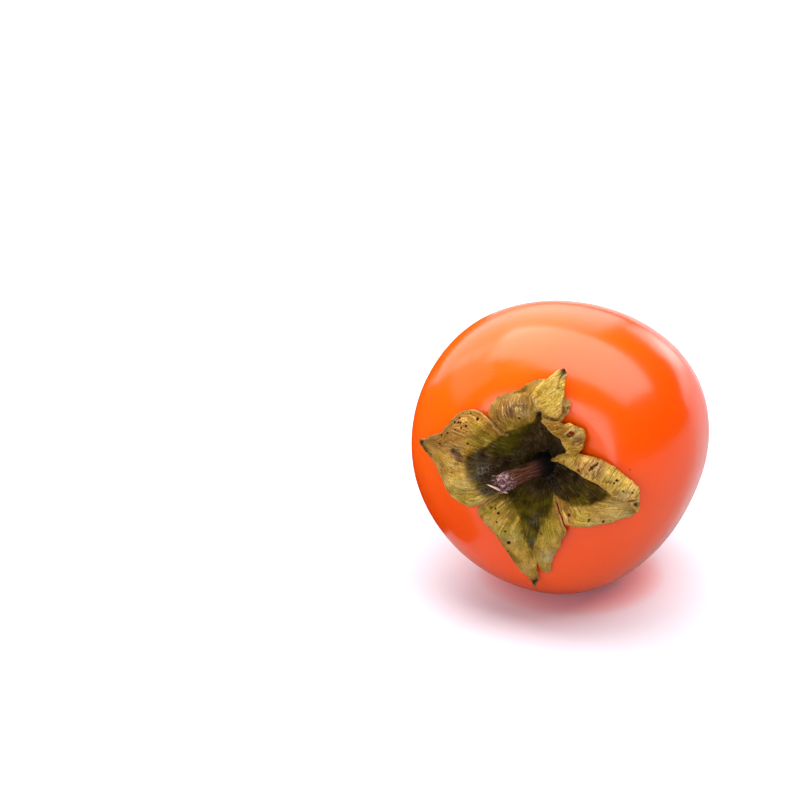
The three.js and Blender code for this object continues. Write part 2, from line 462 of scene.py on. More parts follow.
fruit = {
    # Half of the outline in mm, from the blossom end to the floor of the dimple: out, along.
    "outline": [(0, -45.2), (8, -43.6), (15.5, -39.9), (24.3, -33.3), (31, -23.6), (35.1, -12),
                (36.7, -3.3), (37.1, 5.4), (35.1, 16.9), (30.5, 25), (24.7, 29.9), (20, 32.2),
                (16, 32.9), (12, 31.6), (8, 28.5), (4, 25.9), (0, 25.5)],
    "lobes": [(2, 0.007, 16), (3, 0.0215, 32), (4, 0.0105, 24)],  # count, share, bearing
    "roundInside": 10.0,  # mm from the axis, where the lobes begin
    "fullOutside": 30.0,  # mm, where they are full
    "shoulderFrom": 5.4,  # mm along the axis, the outline's widest point
    "rings": 84,
    "sides": 120,
    "unevenness": 0.16,   # mm, broad soft lumps
    "lumpWidth": 17.0,
    "lumpsFrom": 2.0,     # mm from the axis, where the lumps begin
    "lumpsFull": 20.0,
    "spotBlend": 0.00035,  # m over which the flat spot rounds into the side
    # The skin from its redder to its yellower side, and its gloss.
    "tones": [(0.2, (0.84, 0.063, 0.0005)), (0.5, (0.88, 0.083, 0.0005)), (0.9, (0.92, 0.118, 0.0008))],
    "mottle": (1.0, 0.15, 0.002),
    "roughness": (0.18, 0.23),
    "waxIor": 1.46,
    "glow": 0.12,         # share of the light that goes through the flesh
    "speckColor": (0.12, 0.02, 0.008),
    "dotColor": (0.10, 0.02, 0.01),
    "scuffColor": (0.34, 0.095, 0.004),
    "scuffPlace": (-0.0165, 0.0240, 0.0290),  # m, in the fruit's own frame
    "scuffReach": 0.0095,
    # A few dark specks on the skin: place and radius in mm.
    "dots": [((21.6, 1.7, 31.5), 0.34), ((11.9, 13.4, 32.8), 0.22), ((16.2, 32.8, 10.5), 0.30),
             ((-3.6, 33.6, 20.0), 0.22), ((32.6, -14.9, 14.3), 0.26), ((22.2, 22.7, 23.4), 0.20),
             ((19.8, -8.0, 30.5), 0.20), ((-30.0, 6.0, -12.0), 0.30), ((28.0, 10.0, -22.0), 0.26)],
}


def lobing(reach, bearing):
    strength = smoothStep(fruit["roundInside"], fruit["fullOutside"], reach)
    share = sum(amount * math.cos(count * (bearing - math.radians(degrees)))
                for count, amount, degrees in fruit["lobes"])
    return 1 + strength * share


shoulder = [p for p in smoothCurve(fruit["outline"], 30) if p.y > fruit["shoulderFrom"]][::-1]
shoulderReach = [p.x for p in shoulder]


def fruitTop(x, y):
    # how high the fruit's upper side is at a place seen from above the calyx
    reach = math.hypot(x, y)
    reach /= lobing(reach, math.atan2(y, x))
    i = min(max(bisect.bisect(shoulderReach, reach), 1), len(shoulder) - 1)
    a, b = shoulder[i - 1], shoulder[i]
    return mix(a.y, b.y, (reach - a.x) / max(b.x - a.x, 1e-9))


def skinMaterial():
    material, tree, shader = newMaterial("persimmonSkin")
    place = objectPlace(tree)
    broad = noiseTexture(tree, place, 26.0, 2.0)
    parts = addNode(tree, "ShaderNodeSeparateXYZ", {"Vector": place}).outputs
    # yellower towards the upper left; the lower left stays redder, as painted shade of the fruit that
    # stands beside it, over the skin's own random tone
    left = mask(tree, parts["X"], 0.026, -0.022)
    upper = mask(tree, parts["Y"], -0.020, 0.010)
    leftUpper = maths(tree, "MULTIPLY", left, upper)
    yellower = maths(tree, "MULTIPLY", maths(tree, "ADD", broad, leftUpper), 0.7)
    color = ramp(tree, yellower, fruit["tones"])
    fine = noiseTexture(tree, place, 900.0, 3.0)
    color = blendColor(tree, maths(tree, "MULTIPLY", fine, 0.12), color, fruit["mottle"])
    faint = useGroup(tree, specks, "Mask", {"Vector": place, "Scale": 150.0, "Share": 0.06, "Size": 0.05})
    color = blendColor(tree, maths(tree, "MULTIPLY", faint, 0.8), color, fruit["speckColor"])
    spotted = dotMask(tree, place, fine, [(Vector(dot), radius) for dot, radius in fruit["dots"]])
    color = blendColor(tree, maths(tree, "MULTIPLY", spotted, 0.9), color, fruit["dotColor"])
    scratched = scuffMask(tree, place)
    color = blendColor(tree, maths(tree, "MULTIPLY", scratched, 0.8), color, fruit["scuffColor"])
    tree.links.new(color, shader.inputs["Base Color"])
    sheen = noiseTexture(tree, place, 160.0, 3.0)
    glossy, duller = fruit["roughness"]
    wax = ramp(tree, sheen, [(0.3, (glossy,) * 3), (0.7, (duller,) * 3)])
    tree.links.new(wax, shader.inputs["Roughness"])
    shader.inputs["IOR"].default_value = fruit["waxIor"]
    shader.inputs["Subsurface Weight"].default_value = fruit["glow"]
    shader.inputs["Subsurface Radius"].default_value = (1.0, 0.3, 0.06)
    shader.inputs["Subsurface Scale"].default_value = 0.003
    grain = noiseTexture(tree, place, 1500.0, 2.0)
    soft = noiseTexture(tree, place, 110.0, 2.0)
    height = maths(tree, "ADD", maths(tree, "MULTIPLY", grain, 0.1), soft)
    height = maths(tree, "ADD", height, maths(tree, "MULTIPLY", scratched, -0.5))
    bump = addNode(tree, "ShaderNodeBump", {"Strength": 0.12, "Distance": 0.0004, "Height": height})
    tree.links.new(bump.outputs["Normal"], shader.inputs["Normal"])
    return material


def scuffMask(tree, place):
    # a few hair-thin scratches on one side of the calyx
    spread = addNode(tree, "ShaderNodeVectorMath", {0: place, 1: fruit["scuffPlace"]}, operation="DISTANCE")
    zone = mask(tree, spread.outputs["Value"], fruit["scuffReach"], fruit["scuffReach"] * 0.4)
    lines = noiseTexture(tree, place, 210.0, 2.0, 0.4, 0.6)
    thin = mask(tree, maths(tree, "ABSOLUTE", maths(tree, "SUBTRACT", lines, 0.5)), 0.02, 0.007)
    broken = mask(tree, noiseTexture(tree, place, 420.0, 1.0), 0.5, 0.58)
    return maths(tree, "MULTIPLY", maths(tree, "MULTIPLY", zone, thin), broken)


def makeFruit():
    bm = spunShape(closedProfile(fruit["outline"], fruit["rings"]), fruit["sides"])
    for vert in bm.verts:
        x, y, z = vert.co
        reach = math.hypot(x, y)
        wider = lobing(reach, math.atan2(y, x))
        out = Vector((x, y, z)).normalized()
        lump = fruit["unevenness"] * rough(vert.co, fruit["lumpWidth"], 3.1)
        lump *= smoothStep(fruit["lumpsFrom"], fruit["lumpsFull"], reach)
        vert.co = Vector((x * wider, y * wider, z)) + out * lump
    flattenSpot(bm)
    finishPiece(bm, "persimmon_body", skinMaterial(), "fruit_body", subdivide=1)


def flattenSpot(bm):
    # what would be under the floor is pressed flat
    back = toRow.inverted()
    blend = fruit["spotBlend"]
    for vert in bm.verts:
        low = toRow @ vert.co
        if low.z < blend * 6:
            low.z = (low.z + math.sqrt(low.z ** 2 + blend ** 2)) / 2
            vert.co = back @ low


calyx = {
    "thickness": 0.4,     # all lengths in mm
    "columns": 40,        # of each panel
    "rows": 78,
    "innerRing": 2.2,
    "lobeWidth": 25.0,
    "leastLift": 0.42,    # the sheet's middle stays this far off the fruit
    "pinSoftness": 0.3,   # how far the pins' lifts blend into one another
    "pinPower": 1.8,
    "looseFrom": 5,       # the sheet is smooth near the stem and loose further out
    "looseTo": 14,
    "ribs": 0.5,          # long ribs that run out along the lobes
    "ribsRound": 13,      # how many there are in a turn, about twice over
    "ribLength": 0.14,    # the larger, the shorter
    "crumple": 0.36,
    "crumpleWidth": 2.7,
    "crease": 0.14,
    "creaseWidth": 0.95,
    "rollStiffness": 0.8,  # share of all this on the rolled margins
    "ragged": 0.3,        # unevenness of the margins
    "raggedWidth": 1.5,
    "raggedFrom": 6,
    "raggedTo": 13,
    "tattered": (50, 12),  # bearing and reach of the flap's most ragged part
    "tatteredReach": 4.5,
    "tatteredLift": 0.5,
    "tatteredRim": 0.45,
    "rimWidth": 1.0,      # the painted highlight along the free margins
    "markWobble": 0.7,    # how far the marks' borders wander
    "markWobbleWidth": 2.2,
}

# The calyx's colours. Ramps give places and colours; the marks give the range of the ageing
# noise that lets them through, their strength and their colour.
dryTones = {
    "sheet": [(0.34, (0.30, 0.152, 0.014)), (0.45, (0.62, 0.335, 0.036)), (0.55, (0.88, 0.50, 0.08)),
              (0.67, (0.97, 0.65, 0.19))],
    "marks": [
        ("pale", 0.36, 0.50, 0.85, (0.98, 0.80, 0.42)),
        ("yellow", 0.30, 0.52, 0.85, (0.98, 0.66, 0.10)),
        ("green", 0.30, 0.52, 0.92, (0.36, 0.27, 0.012)),
        ("tan", 0.26, 0.46, 0.8, (1.0, 0.60, 0.14)),
        ("brown", 0.30, 0.50, 0.95, (0.44, 0.15, 0.026)),
        ("purple", 0.36, 0.51, 0.95, (0.16, 0.06, 0.055))],
    # the hollow's floor: its own dark olive, moss and umber, with painted shade in them; black is painted
    # shade deep round the stem
    "olive": [(0.36, (0.042, 0.022, 0.001)), (0.5, (0.090, 0.052, 0.001)), (0.64, (0.16, 0.105, 0.003))],
    "moss": [(0.36, (0.036, 0.028, 0.001)), (0.5, (0.080, 0.063, 0.001)), (0.64, (0.15, 0.12, 0.004))],
    "umber": [(0.38, (0.022, 0.010, 0.004)), (0.5, (0.050, 0.026, 0.011)), (0.62, (0.085, 0.052, 0.026))],
    "black": (0.006, 0.003, 0.003),
    "veinDark": (0.16, 0.08, 0.012),
    "veinLight": (0.95, 0.66, 0.20),
    "thread": (0.10, 0.05, 0.008),
    "fleck": (0.08, 0.035, 0.008),
    "felt": (0.17, 0.15, 0.12),
    "scorched": (0.026, 0.012, 0.015),
    "freckle": (0.02, 0.008, 0.004),
    "dot": (0.015, 0.006, 0.004),
    "scattered": (0.03, 0.012, 0.006),
    # painted highlight along the free margins
    "rim": (0.74, 0.42, 0.15),
}

# Where two neighbouring panels are one sheet: share of the way out, bearing, reach.
seams = {
    "leftTop": [(0, 139.5, 2.2), (0.3, 139.5, 8), (0.42, 139.5, 11.5)],
    "leftLow": [(0, 216.5, 2.2), (0.3, 216.5, 8), (0.38, 216.5, 10.5)],
    "lowMid": [(0, 270, 2.2), (0.3, 270, 8), (0.78, 271, 23.8)],
    "lowRight": [(0, 297, 2.2), (0.24, 297, 6.5)],
    "rightTop": [(0, 396, 2.2), (0.02, 396, 2.5)],
    "topTear": [(0, 434, 2.2), (0.3, 434, 8), (0.4, 434, 11)],
}

# Each panel of the sheet runs from its clockwise margin to its anticlockwise one, both given as
# share of the way out, bearing, reach. The pins say how far the sheet stands off the fruit:
# bearing, reach, lift.
panels = {
    "left": {
        "from": seams["leftTop"] + [
            (0.5, 138.2, 14.5), (0.58, 136.8, 17.7), (0.63, 138.2, 19.6), (0.68, 141.5, 21.4),
            (0.73, 145, 22.6), (0.77, 150, 23.6), (0.81, 156, 24.3), (0.85, 161, 24.8),
            (0.89, 165.5, 25.6), (0.93, 169.5, 27.8), (0.97, 173, 29.6), (1, 174.8, 31.4)],
        "to": seams["leftLow"] + [
            (0.5, 216.3, 14.5), (0.58, 215.8, 17.6), (0.64, 212.5, 20), (0.69, 208.2, 21.6),
            (0.74, 203.2, 22.8), (0.79, 196.4, 23.6), (0.84, 190, 24.4), (0.88, 185, 25.9),
            (0.92, 181.5, 27.3), (0.96, 179, 28.9), (1, 176.2, 31)],
        "pins": [
            (178, 3, .5), (178, 8, .5), (180, 13, .6), (195, 13, .6), (150, 8, .7), (205, 8, .5),
            (163, 13, 1.0), (172, 20, .9), (173, 23, 1.1), (175, 31, 2.2), (169, 28, 2.8),
            (181, 28, 1.8), (190, 24.4, 2.8), (197, 23.4, 2.8), (203, 22.8, 2.6), (212, 18.8, 2.6),
            (200, 17, .9), (187, 19, .8), (216, 15, 2.4), (215, 12, 1.4), (212, 9, .7),
            (140, 11, .9), (139, 14.5, 2.4), (138, 18, 3.2), (143, 21.5, 2.8), (150, 23.6, 2.2),
            (160, 24.8, 2.0), (147, 18.0, 4.4), (155, 20.5, 4.4), (163, 20, 3.2), (165, 25, 2.8),
            (176, 25.5, 1.5), (150, 14, 2.6), (185, 24, 1.8), (206, 20.5, 1.6)],
    },
    "lowLeft": {
        "from": seams["leftLow"] + [
            (0.48, 216.8, 14), (0.58, 217.6, 18.6), (0.63, 222, 19), (0.67, 229, 19.0), (0.71, 236, 18.8),
            (0.75, 242, 19.9), (0.79, 248, 20.9), (0.83, 253.8, 23), (0.87, 258.5, 25), (0.91, 262.4, 26.8),
            (0.95, 266.4, 28.2), (1, 270, 30.8)],
        "to": seams["lowMid"] + [
            (0.84, 271.4, 25.4), (0.9, 271.9, 27.2), (0.95, 271.5, 28.9), (1, 270.6, 30.9)],
        "pins": [
            (240, 3, .5), (240, 8, .5), (218, 8, .5), (217, 13, .5), (218.5, 18.5, .6),
            (222, 19, .9), (236, 18.6, 1.6), (248, 20.8, 1.4), (254, 22.9, 1.2), (258.6, 24.9, 1.2),
            (266, 28.1, 1.4), (270.3, 30.8, 3.0), (240, 15.5, 3.4), (246, 17.3, 3.4),
            (252, 20, 2.8), (258, 22.5, 2.2), (229, 14, 2.2), (232, 11, 1.2), (225, 16.5, 1.4),
            (231, 17, 2.4), (268, 10, .5), (268, 16, .5), (269, 22, .5), (262, 20, 1.0),
            (258, 15, .9), (250, 12, .7), (263, 24, 1.8), (271, 27.5, 1.6), (270, 4, .5)],
    },
    "lowRight": {
        "from": seams["lowMid"] + [(0.84, 272.2, 24.8), (0.92, 274.2, 25.7), (1, 276.2, 26.5)],
        "to": seams["lowRight"] + [
            (0.36, 297.3, 10.4), (0.46, 298.4, 13.3), (0.55, 299.7, 15.3), (0.6, 298.2, 16.7),
            (0.66, 293.2, 17.8), (0.74, 286.4, 20.2), (0.82, 282.4, 22.1), (0.91, 279.4, 25),
            (0.96, 278, 26.3), (1, 277, 26.6)],
        "pins": [
            (283, 3, .5), (283, 8, .8), (270, 4, .5), (270, 10, .5), (270, 16, .5), (270, 22, .5),
            (284, 12, 2.0), (288, 14, 3.2), (286, 17, 3.2), (281, 20, 2.6), (277, 23, 2.0),
            (297, 6, .7), (297.5, 10.4, 1.9), (298.3, 13.3, 2.8), (299.7, 15.3, 2.8),
            (298, 16.7, 2.2), (293, 17.8, 2.0), (286.3, 20.1, 1.5), (282.4, 22, 1.3),
            (279.4, 24.9, 1.0), (276, 26.3, 1.2), (271.5, 23.8, .5)],
    },
    "right": {
        "from": seams["lowRight"] + [
            (0.34, 299.2, 9.3), (0.42, 301.8, 11.9), (0.5, 303, 14.6), (0.55, 308.8, 16.2),
            (0.62, 316, 17.7), (0.72, 326.6, 20.7), (0.82, 333.8, 23), (0.88, 336.8, 24.7),
            (0.93, 340.2, 25.5), (1, 347.2, 25.1)],
        "to": seams["rightTop"] + [
            (0.06, 396.5, 3.4), (0.12, 397, 5.2), (0.2, 391.8, 8.2), (0.3, 386, 10.5),
            (0.4, 377.7, 14), (0.5, 372.2, 16.8), (0.58, 368, 18.4), (0.68, 362.3, 20.5),
            (0.78, 358.8, 22.2), (0.88, 354.5, 24.5), (0.94, 351, 24.7), (1, 348, 25.1)],
        "pins": [
            (330, 3, .5), (342, 5, .5), (335, 7, .5), (330, 10, .6), (342, 11, .6), (338, 14, .8),
            (345, 15, .9), (355, 8, .6), (356, 12, .8), (352, 16, 1.1), (365, 5, .7), (366, 9, 1.0),
            (349, 19.5, 2.4), (396, 3.4, 2.4), (396, 5.5, 2.8), (391.8, 8.2, 2.8), (386, 10.5, 2.5),
            (377.7, 14, 2.2), (372, 16.8, 2.0), (368, 18.4, 2.0), (362.3, 20.5, 2.1),
            (358.8, 22.2, 2.3), (354, 24.5, 2.7), (348, 24.8, 3.0), (340, 25.5, 2.4),
            (345, 21.5, 3.4), (336, 24.5, 2.3), (330, 21.5, 2.7), (316, 17.7, 3.4),
            (308, 16.2, 3.8), (303, 14.5, 3.8), (301.7, 11.9, 3.0), (299, 9.3, 1.9), (297, 6.5, .8),
            (318, 13, 1.2), (326, 16, 1.7), (335, 18.5, 2.0), (310, 10, .9), (308, 8, .6),
            (337, 21, 3.0), (322, 16.4, 2.6)],
    },
    "topFlap": {
        "from": [(0, 396, 2.2), (0.02, 396, 2.5), (0.3, 391, 8), (0.45, 385.5, 9.7), (0.58, 390, 11),
                 (0.7, 395, 12.5), (0.84, 401, 14.1), (0.93, 408, 15.1), (1, 409.5, 14.3)],
        "to": seams["topTear"] + [
            (0.46, 433.5, 12.2), (0.58, 430, 13.1), (0.7, 426, 12.6), (0.85, 418, 14.0), (1, 411, 13.9)],
        "pins": [
            (415, 3, .5), (415, 6, .7), (396, 4, .6), (396, 6.5, 1.0), (418, 9, 1.2),
            (405, 9.5, 1.3), (396, 9, 1.5), (433, 8, .9), (433, 11, 2.2), (426, 12.6, 2.0),
            (418, 14, 1.8), (408, 14.9, 1.6), (402, 14.4, 1.8), (395, 12.7, 2.4), (389, 10.3, 3.0),
            (410, 12, 1.4), (434, 3, .5), (434, 6, .6)],
    },
    "topMain": {
        "from": seams["topTear"] + [
            (0.46, 430, 12.6), (0.52, 428, 14.4), (0.58, 427, 16.2), (0.64, 427.6, 18.2),
            (0.7, 431.2, 18.9), (0.76, 435.4, 19.5), (0.82, 438, 21), (0.88, 439, 22.6),
            (0.93, 437.3, 23.3), (1, 438, 24.4)],
        "to": [
            (0, 499.5, 2.2), (0.3, 499.5, 8), (0.42, 499.5, 11.5), (0.5, 499.5, 14),
            (0.57, 498.0, 16.3), (0.62, 495.2, 18.3), (0.66, 490.6, 19.4), (0.7, 483, 20.2),
            (0.74, 477.5, 19.8), (0.78, 473, 19.4), (0.82, 465.6, 20.2), (0.86, 461, 21.2),
            (0.9, 455, 21.9), (0.93, 449, 21.9), (0.96, 445, 23.6), (0.98, 443, 24.8),
            (1, 440, 25.3)],
        "pins": [
            (460, 3, .5), (460, 8, .6), (460, 10.5, 1.1), (434, 3, .5), (434, 6, .6),
            (434, 9.5, 1.2), (480, 8, .7), (498, 8, .7), (478, 10.5, 1.0), (478, 13, 3.2),
            (465, 12.6, 2.6), (465, 14.4, 4.2), (499, 11, .9), (455, 13.2, .9), (454, 15.8, 2.6),
            (448, 15.6, 1.8), (444, 15.8, 1.7), (439, 16.9, 1.8), (435, 18.3, 2.0),
            (450, 13.2, 1.2), (444, 13.4, 1.2), (439, 14.6, 1.3), (434, 16.2, 1.6), (429, 15, 2.0),
            (428, 17, 2.4), (430, 12.8, 1.6), (485, 16, 3.6), (476, 16.5, 4.0), (467, 17, 4.0),
            (460, 18.6, 3.8), (492, 15, 2.2), (493, 18.2, 1.8), (484, 19.9, 2.0), (474, 19.5, 2.2),
            (466, 20.1, 2.0), (455, 21.6, 2.4), (447, 22, 2.4), (440, 25.1, 3.4), (444, 19, 2.2),
            (438, 22, 2.6), (432, 19, 2.4), (497, 15, 1.4)],
    },
}

# Where a margin has dried and rolled back over its lobe. The roll starts at the outline
# between the two places, and its free edge lies at: share of the outline, bearing, reach, lift.
curls = {
    "right": {
        "start": (396.5, 3.4), "end": (340.2, 25.5), "bulge": 1.0, "rows": 12, "grain": 62,
        "edge": [
            (0, 389, 2.9, 3.4), (.06, 385, 3.6, 4.2), (.16, 373.5, 5.7, 4.8),
            (.24, 365.6, 8.1, 5.2), (.367, 359.4, 11, 5.2), (.47, 356.5, 13.9, 4.9),
            (.54, 353.5, 16, 4.7), (.63, 350.9, 17.6, 4.3), (.70, 348, 18.8, 4.0),
            (.79, 346.5, 20.8, 3.9), (.88, 346, 23, 3.7), (1, 341, 25.4, 2.6)],
    },
    "topFlap": {
        "start": (391, 8), "end": (433.5, 12.2), "bulge": 0.8, "rows": 14, "grain": 20,
        "edge": [(0, 391.3, 7.6, 3.4), (.14, 397, 7.5, 4.0), (.28, 405, 8.4, 4.6), (.42, 417, 9.2, 4.8),
                 (.56, 428, 9.4, 4.8), (.68, 437, 10.2, 4.8), (.8, 444, 11.2, 4.6), (.9, 448.5, 12.4, 4.4),
                 (1, 449, 13.6, 4.2)],
    },
    "topMain": {
        "start": (450, 21.9), "end": (439, 22.6), "bulge": 0.5, "rows": 20, "grain": 38,
        "edge": [
            (0, 452, 21.3, 3.6), (.12, 459, 18.6, 4.4), (.3, 454, 16.2, 4.8),
            (.4, 449.5, 15.0, 4.9), (.5, 442, 14.2, 4.9), (.6, 436, 13.8, 4.9),
            (.7, 432, 15.4, 4.7), (.8, 433, 17.4, 4.6), (.9, 436, 20, 4.2), (1, 438.6, 22.2, 3.6)],
    },
}

# Holes and cracks: bearing, reach, half length and half width in mm, and which way the length
# points. A crack may go through the roll only.
tears = [
    {"at": (53, 12.2), "size": (1.05, 0.75), "points": 20, "rollOnly": False},
    {"at": (11, 13.8), "size": (1.7, 0.33), "points": 228, "rollOnly": True},
    {"at": (347.6, 23.6), "size": (1.5, 0.32), "points": 14, "rollOnly": False},
]

# The hollow in the middle of the sheet, painted dark: its own dark olive and umber with painted shade over
# them. Bearing and reach of its border, and the border's softness in mm.
hollow = [
    (94.6, 14.6, 0.4), (100.6, 12.0, 0.4), (113.4, 11.2, 0.4), (125.6, 11.5, 0.6), (134.4, 11.9, 0.7),
    (142.2, 12.2, 0.5), (160.6, 14.2, 1.0), (169.9, 16.2, 0.7), (174.1, 18.0, 0.9), (179.5, 18.5, 1.4),
    (186.5, 18.0, 1.6), (195.4, 17.2, 1.8), (204.0, 16.3, 1.8), (211.5, 15.0, 1.6), (216.2, 13.2, 1.0),
    (227.6, 11.9, 1.6), (239.4, 12.1, 1.8), (250.0, 13.2, 2.0), (258.1, 16.2, 2.0), (265.1, 19.2, 1.6),
    (268.5, 20.4, 1.4), (272.0, 17.0, 1.4), (274.7, 14.7, 1.6), (281.2, 12.7, 1.8), (289.7, 11.0, 1.6),
    (293.3, 9.2, 1.0), (296.0, 7.6, 0.7), (300.3, 8.6, 0.8), (307.5, 10.1, 1.0), (315.9, 12.0, 1.0),
    (327.3, 14.4, 1.0), (336.9, 16.7, 1.0), (345.5, 18.4, 1.2), (352.0, 17.5, 1.2), (360.0, 14.0, 1.0),
    (370.0, 11.0, 1.0), (397.0, 8.2, 0.6), (419.4, 9.0, 0.6), (434.0, 9.8, 0.6), (447.0, 11.5, 0.5),
    (451.1, 12.9, 0.4), (454.6, 14.6, 0.4)]

# Marks on the dry sheet: bearing, reach, width in mm, strength.
marks = {
    # dark burnt tips and specks; the one at bearing 94 is painted shade in a hole of the top lobe
    "dark": [
        (175.4, 31, 1.5, 1), (178.5, 29.4, 1.4, 1), (181.5, 27.8, 1.0, .9), (173, 21.6, 1.3, .8),
        (175, 19.6, 1.1, .6), (270.4, 29.4, 1.6, 1), (271.5, 27.5, 1.0, .8), (440, 25.1, 1.2, 1),
        (441, 24, .8, .7), (346, 24.7, 1.0, .9), (94, 14.1, 1.3, 1), (52, 13.6, .9, .6)],
    "pale": [
        (336, 22, 3.2, 1), (322, 18.5, 2.4, .6), (5, 17, 2.0, .6), (352, 22, 2.2, .7),
        (66, 17, 2.6, .5), (280, 22, 2.6, .9), (252, 17.5, 2.4, .9), (50, 13, 1.8, .7),
        (200, 20, 2.4, .6), (213, 17, 2.0, .5), (80, 20, 2.0, .5)],
    # brown mottling; the one at bearing 70 is a painted shadow by the top lobe's fold
    "brown": [
        (152, 21, 3.2, .9), (122, 17.0, 3.2, .9), (130, 15.5, 2.6, .7), (14, 10.5, 2.6, 1),
        (70, 16.2, 1.3, 1), (173, 24, 2.8, .8), (150, 23, 2.8, .9), (163, 24.0, 3.4, 1),
        (171, 27.0, 3.0, 1), (165, 21, 2.4, .7), (139.5, 19, 2.2, 1), (142, 16, 1.6, .8),
        (118, 18.2, 2.6, .6), (106, 19, 2.6, .7), (100, 19.5, 2, .5), (12, 14.2, 3.2, .8),
        (303, 14, 2.2, .9), (186, 27, 1.8, .5), (40, 13, 2.2, .8), (60, 12, 2.6, .7),
        (300, 10.5, 1.8, .8), (312, 12.5, 1.6, .6), (140, 13, 1.4, .8), (96, 17, 1.6, .7),
        (157, 22, 2.6, 1), (78, 11.5, 1.6, .9), (187, 23.3, 1.7, .9), (39, 11.1, 1.4, .6)],
    "green": [
        (150, 16.5, 3.2, .9), (203, 20, 3.4, .8), (212, 17.5, 2.4, .7), (262, 14, 4.6, 1),
        (280, 12, 3.4, .9), (246, 18, 2.6, .6), (125, 13.5, 3.4, .9), (160, 11, 4, 1),
        (240, 11, 3.6, .9), (318, 15.5, 2.8, .6), (0, 18.5, 2.0, .5), (42, 11, 1.6, .5),
        (275, 17, 2.6, .6), (228, 15, 2.4, .7), (157, 14.8, 2.4, 1), (130, 12.8, 2.0, 1),
        (222, 16.5, 2.2, .9), (251, 15.9, 2.4, .9), (263, 17.2, 2.2, 1), (251, 12.9, 2.2, 1),
        (286, 14.6, 2.6, 1), (269, 20.9, 1.5, .9), (187, 23.3, 1.4, .5)],
    "tan": [
        (175, 26.1, 2.2, .9), (126, 18.6, 1.6, .7), (105, 17.6, 1.6, .7), (82, 23, 2.0, 1),
        (72, 17.8, 1.6, 1), (9, 12.6, 1.4, .6), (0, 19.6, 2.2, 1), (352, 23.3, 1.6, .7),
        (328, 17.8, 2.6, .9), (336, 21.3, 2.2, .8), (252, 20.7, 1.6, .9), (265, 26, 2.0, 1),
        (287, 17.8, 1.6, .5), (277, 24.1, 1.8, 1)],
    "yellow": [
        (244, 17.8, 2.2, .9), (258, 20, 2.0, .7), (286, 17.5, 2.6, .8), (276, 24, 2.4, .8),
        (6, 17.6, 2.6, .8), (316, 15.5, 3.4, .8), (340, 21.5, 3.0, .6), (358, 20.5, 2.4, .7),
        (24, 9, 2.4, .7), (150, 19, 2.6, .7), (79, 19.5, 4.2, 1), (88, 17, 2.4, .9),
        (125, 18.6, 2.0, .8), (205, 22.2, 2.0, .6), (165, 22, 2.4, .6), (60, 14, 2, .4)],
    "purple": [
        (174, 20.8, 2.0, 1), (180, 19.9, 1.4, .9), (117, 16.6, 2.2, .9), (108, 15.9, 2.2, 1),
        (10, 14.8, 1.9, .9), (345, 20.4, 1.8, .4), (45, 12.5, 1.6, .6), (240, 14, 2, .4)],
    # black, umber and moss colour the hollow's floor: black is painted shade deep in the cup, and umber and
    # moss are its own dark colour darkened as painted shade
    "black": [
        (40, 1.5, 4.2, 1), (300, 3.5, 3.2, 1), (355, 5, 3.2, .8), (180, 3, 3.0, .8),
        (195, 8, 3.0, .5)],
    "umber": [
        (180, 8.5, 3.4, .9), (188, 12, 3.0, .9), (202, 14, 2.4, .7), (70, 7.0, 4.6, 1),
        (95, 7.5, 3.6, .9), (45, 5, 3.6, 1), (130, 6, 3.2, .8), (352, 8.5, 3.6, 1),
        (310, 7, 2.8, .9), (345, 15.5, 2.2, .6), (190, 12.5, 2.4, .9), (172, 14, 2.4, .8),
        (318, 9.5, 2.0, .5), (240, 6, 3.4, .8), (205, 11, 2.6, .8), (450, 10, 2.4, .7),
        (337, 14.5, 1.8, .5), (270, 6, 3.0, .7)],
    "moss": [
        (128, 9, 3.0, .8), (140, 10, 4.6, 1), (118, 10, 3.4, 1), (163, 10.5, 3.4, 1),
        (265, 12, 3.6, .9), (250, 10, 3.2, .8), (285, 9, 3.0, .8), (338, 10, 3.4, .9),
        (268, 17.5, 2.2, .8), (203, 15.5, 2.6, .7), (222, 10, 3.2, .8)],
    "fuzz": [
        (181, 14.7, 3.0, 1), (205, 13.5, 2.8, .9), (192, 17, 2.4, .7), (155, 6, 2.0, .6),
        (299, 5, 1.8, .8), (70, 3.5, 1.8, .7), (270, 12, 1.4, .8), (269, 17, 1.1, 1),
        (270, 20, .9, .9), (345, 11, 1.8, .5)],
    "spots": [
        (155, 22.3, 3.2, 1), (145, 19.5, 2, .6), (165, 25, 2.2, .7), (242, 18, 3.4, .8),
        (228, 15, 2.4, .6), (60, 12.5, 3.4, .7), (359, 19, 1.2, .7), (325, 17, 4, .5),
        (110, 18, 3, .4)],
}

# Small round specks, each with its bearing, reach and radius in mm.
dots = [
    (159, 22.4, .26), (154, 22.5, .32), (153, 21.9, .30), (155, 21.2, .26), (152, 20.3, .34),
    (143, 19.1, .42), (144, 21.3, .24), (164, 18.2, .38), (164, 24.0, .28), (172, 25.3, .30),
    (185, 21.8, .22), (236, 16.4, .32), (246, 17.0, .30), (252, 19.6, .50), (227, 14.4, .28),
    (253, 22.5, .24), (282, 22.0, .20), (0, 19.4, .36), (358, 18.8, .30), (353, 21.1, .22)]


def along(margin, share):
    # a place on a margin: bearing and reach at a share of the way out
    for a, b in zip(margin, margin[1:]):
        if share <= b[0]:
            part = (share - a[0]) / (b[0] - a[0])
            return [mix(u, v, part) for u, v in zip(a[1:], b[1:])]
    return list(margin[-1][1:])


def unwound(margin, near):
    # bearings brought within half a turn of the given one
    return [(share, near + (bearing - near + 180) % 360 - 180, reach) for share, bearing, reach in margin]


